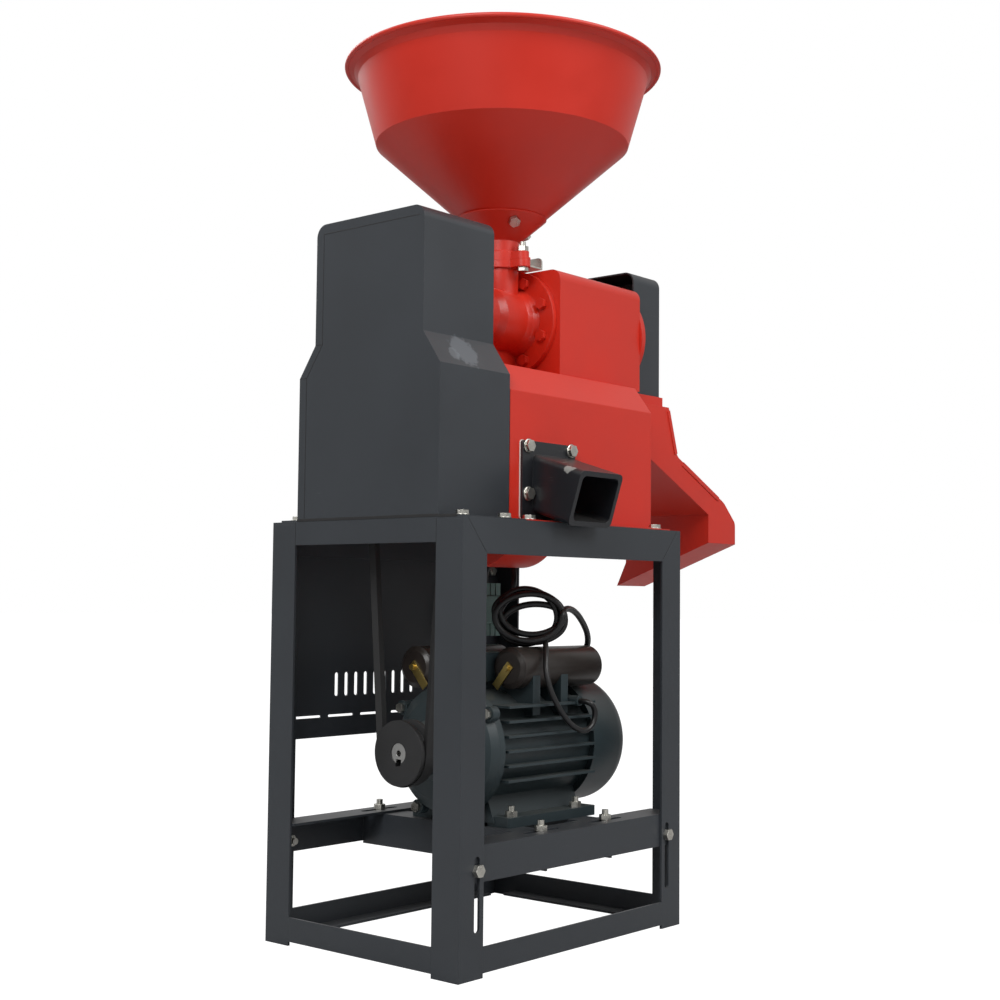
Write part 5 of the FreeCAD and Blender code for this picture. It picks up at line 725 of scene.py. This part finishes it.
# ---- fasteners -------------------------------------------------------------------------
@dataclass
class FastenerSet:
    """Washers and thread ends for one group of bolts on the fixed machine.

    Attributes:
        name: The group's name, used for its pieces.
        seats: Places of heads or nuts with the direction that they face.
        ends: Places where bolt ends stand out, with their direction and length.
        washer: Outer radius of the washers in millimetres.
        washer_width: Width of a washer's ring in millimetres.
        washer_thick: Thickness of a washer in millimetres.
        shank: Radius of the bolts in millimetres.
        end_length: Length of the threaded ends in millimetres.
    """

    name: str
    seats: list[tuple[Point, Point]] = field(default_factory=list)
    ends: list[tuple[Point, Point]] = field(default_factory=list)
    washer: float = 8.4
    washer_width: float = 3.2
    washer_thick: float = 1.4
    shank: float = 4.0
    end_length: float = 5.6

    def build(self, growers: Growers, finishes: Finishes) -> None:
        """Builds the set's pieces.

        Args:
            growers: The geometry node trees.
            finishes: The built finishes.
        """
        half = self.washer_thick / 2.0
        jobs = ((self.seats, half, "_washers", growers.washers,
                 {"Radius": (self.washer - self.washer_width / 2.0) * MM,
                  "Width": self.washer_width * MM}),
                (self.ends, 0.0, "_threads", growers.threads,
                 {"Radius": self.shank * MM, "Height": self.end_length * MM}))
        for rows, lift, suffix, tree, sizes in jobs:
            if not rows:
                continue
            facings = [Vector(facing) for _, facing in rows]
            places = [DATUM.at(*place) + facing * lift * MM
                      for (place, _), facing in zip(rows, facings)]
            cloud = point_cloud(self.name, places, facings)
            piece = grow(cloud, tree, self.name + suffix, Finish=finishes["zinc"], **sizes)
            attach(piece, "machine")


# ---- wiring ----------------------------------------------------------------------------
@dataclass(frozen=True)
class Turn:
    """One loose turn of the coiled cable, in millimetres.

    Attributes:
        wide: Half its width.
        tall: Half its height.
        along: Shift of its middle to the right.
        up: Shift of its middle upwards.
    """

    wide: float
    tall: float
    along: float
    up: float


@dataclass
class Wiring:
    """Cables between the breaker, the loose coil, the motor and its grommet.

    Attributes:
        centre: Middle of the coil in stand millimetres.
        heading: Turn of the coil's plane about the upright axis, in degrees.
        cable_radius: Radius of the supply cable in millimetres.
        lead_radius: Radius of the capacitor cable.
        turn_step: How far each turn lies behind the one before.
        points_in_turn: Control points in a turn.
        first_angle: Angle in degrees at which the coil starts.
        last_angle: Angle at which it ends, counted in its last turn.
        whole_turns: Full turns between the two.
        turns: Sizes that the coil passes through, one after another.
    """

    centre: Point = (244.0, 106.0, 388.5)
    heading: float = 49.5
    cable_radius: float = 4.0
    lead_radius: float = 3.5
    turn_step: float = 6.6
    points_in_turn: int = 14
    first_angle: float = 128.0
    last_angle: float = 371.0
    whole_turns: int = 4
    turns: tuple[Turn, ...] = (Turn(39.0, 31.0, 1.0, 1.0), Turn(45.0, 34.0, 3.0, 0.0),
                               Turn(33.0, 23.0, -12.0, 8.0), Turn(43.0, 27.0, 4.0, -7.0),
                               Turn(29.0, 19.0, -7.0, -15.0), Turn(46.0, 35.0, 0.0, 2.0),
                               Turn(34.0, 25.0, 9.0, 5.0), Turn(42.0, 31.0, -3.0, -2.0),
                               Turn(38.0, 30.0, 3.0, 2.0))

    def coil(self) -> list[Vector]:
        """Returns the points of the loose turns, one after another."""
        heading = math.radians(self.heading)
        along = Vector((math.cos(heading), -math.sin(heading), 0.0))
        depth = Vector((math.sin(heading), math.cos(heading), 0.0))
        middle = DATUM.at(*self.centre)
        sweep = self.last_angle + self.whole_turns * 360.0 - self.first_angle
        count = int(sweep / 360.0 * self.points_in_turn)
        points = []
        for index in range(count + 1):
            share = index / count
            angle = math.radians(self.first_angle + sweep * share)
            whole = share * (len(self.turns) - 1)
            low = min(int(whole), len(self.turns) - 2)
            part = whole - low
            a = self.turns[low]
            b = self.turns[low + 1]
            wide = a.wide + (b.wide - a.wide) * part
            tall = a.tall + (b.tall - a.tall) * part
            shift = a.along + (b.along - a.along) * part
            up = a.up + (b.up - a.up) * part
            back = (0.5 - share) * self.turn_step * sweep / 360.0
            points.append(middle + along * (shift + wide * math.cos(angle)) * MM
                          + Vector((0.0, 0.0, (up + tall * math.sin(angle)) * MM))
                          + depth * back * MM)
        return points

    @staticmethod
    def _curve(name: str, points: Sequence[Vector], radius: float,
               material: Material) -> Piece:
        """Makes a round cable along a smooth spline.

        Args:
            name: The piece's name.
            points: Control points in metres.
            radius: The cable's radius in millimetres.
            material: Its finish.

        Returns:
            The curve object.
        """
        data = bpy.data.curves.new(name, "CURVE")
        data.dimensions = "3D"
        data.bevel_depth = radius * MM
        data.bevel_resolution = 5
        data.resolution_u = 8
        data.use_fill_caps = True
        spline = data.splines.new("NURBS")
        spline.points.add(len(points) - 1)
        for point, place in zip(spline.points, points):
            point.co = (place.x, place.y, place.z, 1.0)
        spline.order_u = 3
        spline.use_endpoint_u = True
        data.materials.append(material)
        thing = bpy.data.objects.new(name, data)
        bpy.context.scene.collection.objects.link(thing)
        return thing

    def build(self, finishes: Finishes) -> None:
        feed = DATUM.line([(358, 279, 432), (358, 279, 447), (355, 267, 463), (342, 246, 477),
                           (320, 218, 486), (294, 188, 486), (271, 161, 474), (254, 143, 454),
                           (243, 131, 433)])
        tail = DATUM.line([(288, 80, 400), (314, 88, 395), (342, 98, 382),
                           (367, 108, 365), (383, 121, 347), (380, 139, 334), (362, 150, 326),
                           (334, 153, 324), (302, 151, 326), (272, 152, 328), (246, 152, 328)])
        cable = self._curve("supply_cable", feed + self.coil() + tail, self.cable_radius,
                            finishes["cable"])
        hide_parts("breaker_lead", "cable_coil", "motor_lead")
        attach(cable, "machine")
        hang = DATUM.line([(252, 87, 358), (240, 76, 345), (229, 68, 324), (231, 62, 299),
                           (246, 58, 274), (268, 56, 254), (292, 55, 246), (309, 54, 256),
                           (311, 53, 273), (298, 52, 284), (298, 68, 284)])
        lead = self._curve("capacitor_cable", hang, self.lead_radius, finishes["cable"])
        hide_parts("capacitor_lead")
        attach(lead, "machine")


# ---- seams and small trim --------------------------------------------------------------
def bar_mesh(name: str, runs: Sequence[tuple[Point, Point]], width: float, normal: Point,
             proud: float, material: Material) -> Piece:
    """Makes thin straight strips that lie on a flat face.

    Args:
        name: The piece's name.
        runs: Start and end of each strip in stand millimetres.
        width: The strips' width in millimetres.
        normal: The face's outward direction.
        proud: How far the strips stand out in millimetres.
        material: Their finish.

    Returns:
        The new piece.
    """
    shape = bmesh.new()
    out = Vector(normal)
    for start, end in runs:
        a = DATUM.at(*start)
        b = DATUM.at(*end)
        side = (b - a).normalized().cross(out) * (width * MM / 2.0)
        rise = out * proud * MM
        low = [shape.verts.new(point - rise) for point in (a - side, b - side, b + side, a + side)]
        high = [shape.verts.new(point + rise) for point in (a - side, b - side, b + side, a + side)]
        shape.faces.new(low[::-1])
        shape.faces.new(high)
        for index in range(4):
            following = (index + 1) % 4
            shape.faces.new((low[index], low[following], high[following], high[index]))
    bmesh.ops.recalc_face_normals(shape, faces=shape.faces)
    mesh = bpy.data.meshes.new(name)
    shape.to_mesh(mesh)
    shape.free()
    mesh.materials.append(material)
    return mesh_object(name, mesh)


class Axis(Enum):
    """Direction of a ring's axis."""

    X = "along the shafts"
    Z = "upright"


def ring_path(name: str, centre: Point, radius: float, axis: Axis) -> Piece:
    """Makes a closed path of edges round an axis through a stand point.

    Args:
        name: The path's name.
        centre: The circle's middle in stand millimetres.
        radius: Its radius in millimetres.
        axis: The axis that it goes round.

    Returns:
        The path as a mesh of edges.
    """
    count = 48
    middle = DATUM.at(*centre)
    places = []
    for index in range(count):
        angle = math.tau * index / count
        a = radius * math.cos(angle) * MM
        b = radius * math.sin(angle) * MM
        places.append(middle + (Vector((a, b, 0.0)) if axis is Axis.Z else Vector((0.0, a, b))))
    mesh = bpy.data.meshes.new(name)
    mesh.from_pydata([tuple(place) for place in places],
                     [(index, (index + 1) % count) for index in range(count)], [])
    return mesh_object(name, mesh)


def dark_strips(name: str, runs: Sequence[tuple[Point, Point]], width: float, normal: Point,
                proud: float, finishes: Finishes) -> None:
    """Adds black strips or seams to the fixed machine; see bar_mesh for the sizes."""
    piece = bar_mesh(name, runs, width, normal, proud, finishes["belt"])
    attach(piece, "machine")


@dataclass
class GuardTrim:
    """Lap seam of the belt guard's outer face, and a black strip along its foot that is painted
    shadow of the gap under the guard.

    Attributes:
        face_y: Near and far edge of the face's foot in stand millimetres.
        top_y: Near and far edge of its narrower top.
        shoulder: Lower and upper height of the sloped shoulders.
        top: Height of the guard's top.
        inset: Distance of the lap seam from the face's edges.
        seam: Width of the seam.
        seam_low: Height at which the seam starts.
        seam_start: Distance of the top seam's near end from the near edge.
        foot: Width of the black strip at the foot, which is painted shadow of the gap under the
            guard.
        foot_shadow_z: Height of the strip's middle under the face and beside it.
        flange_y: Near end of the strip along the guard's foot flange.
    """

    face_y: tuple[float, float] = (37.0, 267.0)
    top_y: tuple[float, float] = (63.5, 240.5)
    shoulder: tuple[float, float] = (672.0, 710.0)
    top: float = 855.0
    inset: float = 12.0
    seam: float = 0.9
    seam_low: float = 504.0
    seam_start: float = 8.0
    foot: float = 3.2
    foot_shadow_z: tuple[float, float] = (501.6, 501.0)
    flange_y: float = 9.4

    def build(self, growers: Growers, finishes: Finishes) -> None:
        """Builds the guard's trim.

        Args:
            growers: The geometry node trees, not needed here.
            finishes: The built finishes.
        """
        wide = self.face_y[1] - self.inset
        narrow = self.top_y[1] - self.inset
        low, high = self.shoulder
        across = self.top - self.inset
        runs = [((0.0, wide, self.seam_low), (0.0, wide, low)),
                ((0.0, wide, low), (0.0, narrow, high)),
                ((0.0, narrow, high), (0.0, narrow, across)),
                ((0.0, wide, low), (0.0, self.face_y[1], low)),
                ((0.0, narrow, high), (0.0, self.top_y[1], high)),
                ((0.0, self.top_y[0] + self.seam_start, across), (0.0, narrow, across))]
        outward = (-1.0, 0.0, 0.0)
        dark_strips("guard_seam", runs, self.seam, outward, 0.12, finishes)
        # The black strip at the guard's foot is painted shadow of the gap between the guard and the
        # rail.
        face_z, flange_z = self.foot_shadow_z
        edge = [((0.0, self.face_y[0], face_z), (0.0, self.face_y[1], face_z)),
                ((0.0, self.flange_y, flange_z), (0.0, self.face_y[0], flange_z))]
        dark_strips("guard_foot_painted_shadow", edge, self.foot, outward, 0.35, finishes)


@dataclass
class StandTrim:
    """Mitre seams of the stand's corners, washers and thread ends of its deck bolts.

    Attributes:
        length: The stand's length in millimetres.
        width: Its width.
        height: Its height.
        leg: Width of a leg's flange.
        mitre_start: Distance of a mitre's upper end from the corner.
        seam_rise: Height of the side seams' lower ends above the rail's lower edge.
        mitre_rise: Height of the mitres' lower ends above it.
        columns: X places of the deck bolts.
        rows: Y places of the deck bolts.
        seat: Height of the seats of their heads.
        thread_top: Height at which their threaded ends begin, below the nuts.
    """

    length: float = 420.0
    width: float = 310.0
    height: float = 500.0
    leg: float = 40.0
    mitre_start: float = 8.0
    seam_rise: float = 8.0
    mitre_rise: float = 2.0
    columns: tuple[float, ...] = (18.0, 90.0, 134.0, 388.0)
    rows: tuple[float, float] = (18.0, 285.0)
    seat: float = 502.0
    thread_top: float = 490.4

    def build(self, growers: Growers, finishes: Finishes) -> None:
        """Builds the stand's trim.

        Args:
            growers: The geometry node trees.
            finishes: The built finishes.
        """
        rail = self.height - self.leg
        top = self.height - 1.0
        foot = rail + self.mitre_rise
        start = self.mitre_start
        near = [((start, 0.0, top), (self.leg - 1.0, 0.0, foot)),
                ((self.length - start, 0.0, top), (self.length - self.leg + 1.0, 0.0, foot))]
        dark_strips("rail_mitres", near, 0.7, (0.0, -1.0, 0.0), 0.1, finishes)
        side = [((0.0, y, rail + self.seam_rise), (0.0, y, top))
                for y in (self.leg, self.width - self.leg)]
        dark_strips("rail_seams", side, 0.6, (-1.0, 0.0, 0.0), 0.1, finishes)
        places = [(x, y) for x in self.columns for y in self.rows]
        bolts = FastenerSet("deck_bolts", [((x, y, self.seat), (0.0, 0.0, 1.0)) for x, y in places],
                            [((x, y, self.thread_top), (0.0, 0.0, -1.0)) for x, y in places])
        bolts.build(growers, finishes)


def rim_bolt(place: Point, finishes: Finishes) -> None:
    """Makes the upright bolt on the chute's rim in front of the end cover.

    Args:
        place: Where it stands, in stand millimetres.
        finishes: The built finishes.
    """
    shape = bmesh.new()
    for sides, radius, low, high in ((6, 7.2, 0.0, 6.0), (16, 4.0, 0.0, 13.0)):
        made = bmesh.ops.create_cone(shape, cap_ends=True, segments=sides, radius1=radius * MM,
                                     radius2=radius * MM, depth=(high - low) * MM)
        lift = DATUM.at(place[0], place[1], place[2] + (low + high) / 2.0)
        bmesh.ops.translate(shape, verts=made["verts"], vec=lift)
    mesh = bpy.data.meshes.new("rim_bolt")
    shape.to_mesh(mesh)
    shape.free()
    mesh.materials.append(finishes["zinc"])
    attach(mesh_object("rim_bolt", mesh), "machine")


@dataclass
class MillTrim:
    """Washers of the spout's plate, the chute's bolt and the weld beads.

    Attributes:
        plate_y: Outer face of the spout's plate.
        plate_bolts: X and Z of its bolts.
        collar: Middle of the weld round the hopper collar's neck.
        collar_radius: Radius of that weld.
        boss: Middle of the weld round the end cover's boss.
        boss_radius: Radius of that weld.
        rim_place: Foot of the bolt on the chute's rim.
    """

    plate_y: float = 33.5
    plate_bolts: tuple[tuple[float, float], ...] = ((150.5, 590.5), (232.0, 590.5),
                                                    (150.5, 534.0))
    collar: Point = (236.0, 152.0, 849.4)
    collar_radius: float = 23.7
    boss: Point = (510.4, 152.0, 764.0)
    boss_radius: float = 19.4
    rim_place: Point = (438.0, 90.0, 676.0)

    def build(self, growers: Growers, finishes: Finishes) -> None:
        """Builds the mill's trim.

        Args:
            growers: The geometry node trees.
            finishes: The built finishes.
        """
        FastenerSet("spout_bolts", [((x, self.plate_y, z), (0.0, -1.0, 0.0))
                                    for x, z in self.plate_bolts]).build(growers, finishes)
        rim_bolt(self.rim_place, finishes)
        for name, centre, radius, axis, finish, slot in (
                ("collar_weld", self.collar, self.collar_radius, Axis.Z, "red", "red_paint"),
                ("boss_weld", self.boss, self.boss_radius, Axis.X, "grey", "grey_paint")):
            path = ring_path(name, centre, radius, axis)
            bead = grow(path, growers.beads, name, Finish=finishes[finish],
                        Radius=1.5 * MM, Spacing=1.7 * MM)
            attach(bead, "machine")


# ---- studio ----------------------------------------------------------------------------
@dataclass
class Studio:
    """Camera, lamps, pale floor and white surroundings."""

    camera_place: Point = (-1235.1, -1108.1, 408.5)
    lens: float = 55.14
    yaw: float = 49.47
    pitch: float = 3.75
    roll: float = 0.56
    reflected_white: float = 0.5

    def camera(self) -> None:
        """Places the camera at the chosen viewing angle."""
        yaw = math.radians(self.yaw)
        pitch = math.radians(self.pitch)
        roll = math.radians(self.roll)
        ahead = Vector((math.sin(yaw) * math.cos(pitch), math.cos(yaw) * math.cos(pitch),
                        math.sin(pitch)))
        level = Vector((math.cos(yaw), -math.sin(yaw), 0.0))
        above = level.cross(ahead)
        right = level * math.cos(roll) + above * math.sin(roll)
        up = above * math.cos(roll) - level * math.sin(roll)
        data = bpy.data.cameras.new("camera")
        data.lens = self.lens
        data.sensor_width = 36.0
        data.clip_start = 0.05
        thing = bpy.data.objects.new("camera", data)
        turn = Matrix((right, up, -ahead)).transposed()
        thing.matrix_world = Matrix.Translation(DATUM.at(*self.camera_place)) @ turn.to_4x4()
        bpy.context.scene.collection.objects.link(thing)
        bpy.context.scene.camera = thing

    def lamp(self, name: str, place: Point, target: Point, size: float, power: float) -> None:
        """Adds a soft square lamp.

        Args:
            name: The lamp's name.
            place: Its place in stand millimetres.
            target: Where it points, in stand millimetres.
            size: Its side in metres.
            power: Its power in watts.
        """
        data = bpy.data.lights.new(name, "AREA")
        data.energy = power
        data.size = size
        thing = bpy.data.objects.new(name, data)
        thing.location = DATUM.at(*place)
        heading = DATUM.at(*target) - thing.location
        thing.rotation_euler = heading.to_track_quat("-Z", "Y").to_euler()
        bpy.context.scene.collection.objects.link(thing)

    def world(self) -> None:
        """White surroundings for the camera and reflections, softer light for the rest."""
        world = bpy.data.worlds.new("studio")
        bpy.context.scene.world = world
        world.use_nodes = True
        tree = world.node_tree
        tree.nodes.clear()
        out = tree.nodes.new("ShaderNodeOutputWorld")
        seen = tree.nodes.new("ShaderNodeBackground")
        lit = tree.nodes.new("ShaderNodeBackground")
        seen.inputs[0].default_value = (1.0, 1.0, 1.0, 1.0)
        lit.inputs[0].default_value = (1.0, 1.0, 1.0, 1.0)
        lit.inputs[1].default_value = 0.17
        path = tree.nodes.new("ShaderNodeLightPath")
        sheen = tree.nodes.new("ShaderNodeMath")
        sheen.operation = "MULTIPLY"
        sheen.inputs[1].default_value = self.reflected_white
        tree.links.new(path.outputs["Is Glossy Ray"], sheen.inputs[0])
        share = tree.nodes.new("ShaderNodeMath")
        share.operation = "MAXIMUM"
        tree.links.new(path.outputs["Is Camera Ray"], share.inputs[0])
        tree.links.new(sheen.outputs[0], share.inputs[1])
        mix = tree.nodes.new("ShaderNodeMixShader")
        tree.links.new(share.outputs[0], mix.inputs[0])
        tree.links.new(lit.outputs[0], mix.inputs[1])
        tree.links.new(seen.outputs[0], mix.inputs[2])
        tree.links.new(mix.outputs[0], out.inputs[0])

    def floor(self) -> None:
        """Pale floor that keeps a soft shadow."""
        mesh = bpy.data.meshes.new("floor")
        reach = 30.0
        low = CAD_BOX[0][2]
        mesh.from_pydata([(-reach, -reach, low), (reach, -reach, low), (reach, reach, low),
                          (-reach, reach, low)], [], [(0, 1, 2, 3)])
        thing = mesh_object("floor", mesh)
        material = bpy.data.materials.new("pale_floor")
        material.use_nodes = True
        tree = material.node_tree
        shader = tree.nodes["Principled BSDF"]
        shader.inputs["Base Color"].default_value = (0.6, 0.6, 0.6, 1.0)
        shader.inputs["Roughness"].default_value = 0.9
        shader.inputs["Specular IOR Level"].default_value = 0.1
        glow = tree.nodes.new("ShaderNodeEmission")
        glow.inputs[0].default_value = (1.0, 1.0, 1.0, 1.0)
        glow.inputs[1].default_value = 1.2
        path = tree.nodes.new("ShaderNodeLightPath")
        share = tree.nodes.new("ShaderNodeMath")
        share.operation = "MULTIPLY"
        share.inputs[1].default_value = 0.93
        tree.links.new(path.outputs["Is Camera Ray"], share.inputs[0])
        mix = tree.nodes.new("ShaderNodeMixShader")
        tree.links.new(share.outputs[0], mix.inputs[0])
        tree.links.new(shader.outputs[0], mix.inputs[1])
        tree.links.new(glow.outputs[0], mix.inputs[2])
        tree.links.new(mix.outputs[0], tree.nodes["Material Output"].inputs[0])
        mesh.materials.append(material)

    def build(self) -> None:
        """Builds the whole studio."""
        scene = bpy.context.scene
        scene.view_settings.view_transform = "Standard"
        self.camera()
        self.world()
        self.floor()
        middle = (230.0, 150.0, 600.0)
        self.lamp("left", (-2400.0, -700.0, 2500.0), middle, 1.8, 70.0)
        self.lamp("right", (700.0, -2400.0, 2700.0), middle, 1.8, 62.0)
        self.lamp("back", (300.0, 2400.0, 2300.0), middle, 1.6, 30.0)


# ---- the machine -----------------------------------------------------------------------
def main() -> None:
    """Builds the dressed machine and its studio, piece by piece."""
    logging.basicConfig(level=logging.INFO, format="%(message)s")
    Studio().build()
    LOG.info("studio")
    finishes = Finishes()
    dress_nodes(finishes)
    LOG.info("finishes: %d", len(finishes.built))
    growers = Growers()
    for trim in (GuardTrim(), StandTrim(), MillTrim()):
        trim.build(growers, finishes)
        LOG.info("%s", type(trim).__name__)
    Wiring().build(finishes)
    LOG.info("wiring")


if __name__ == "__main__":
    main()
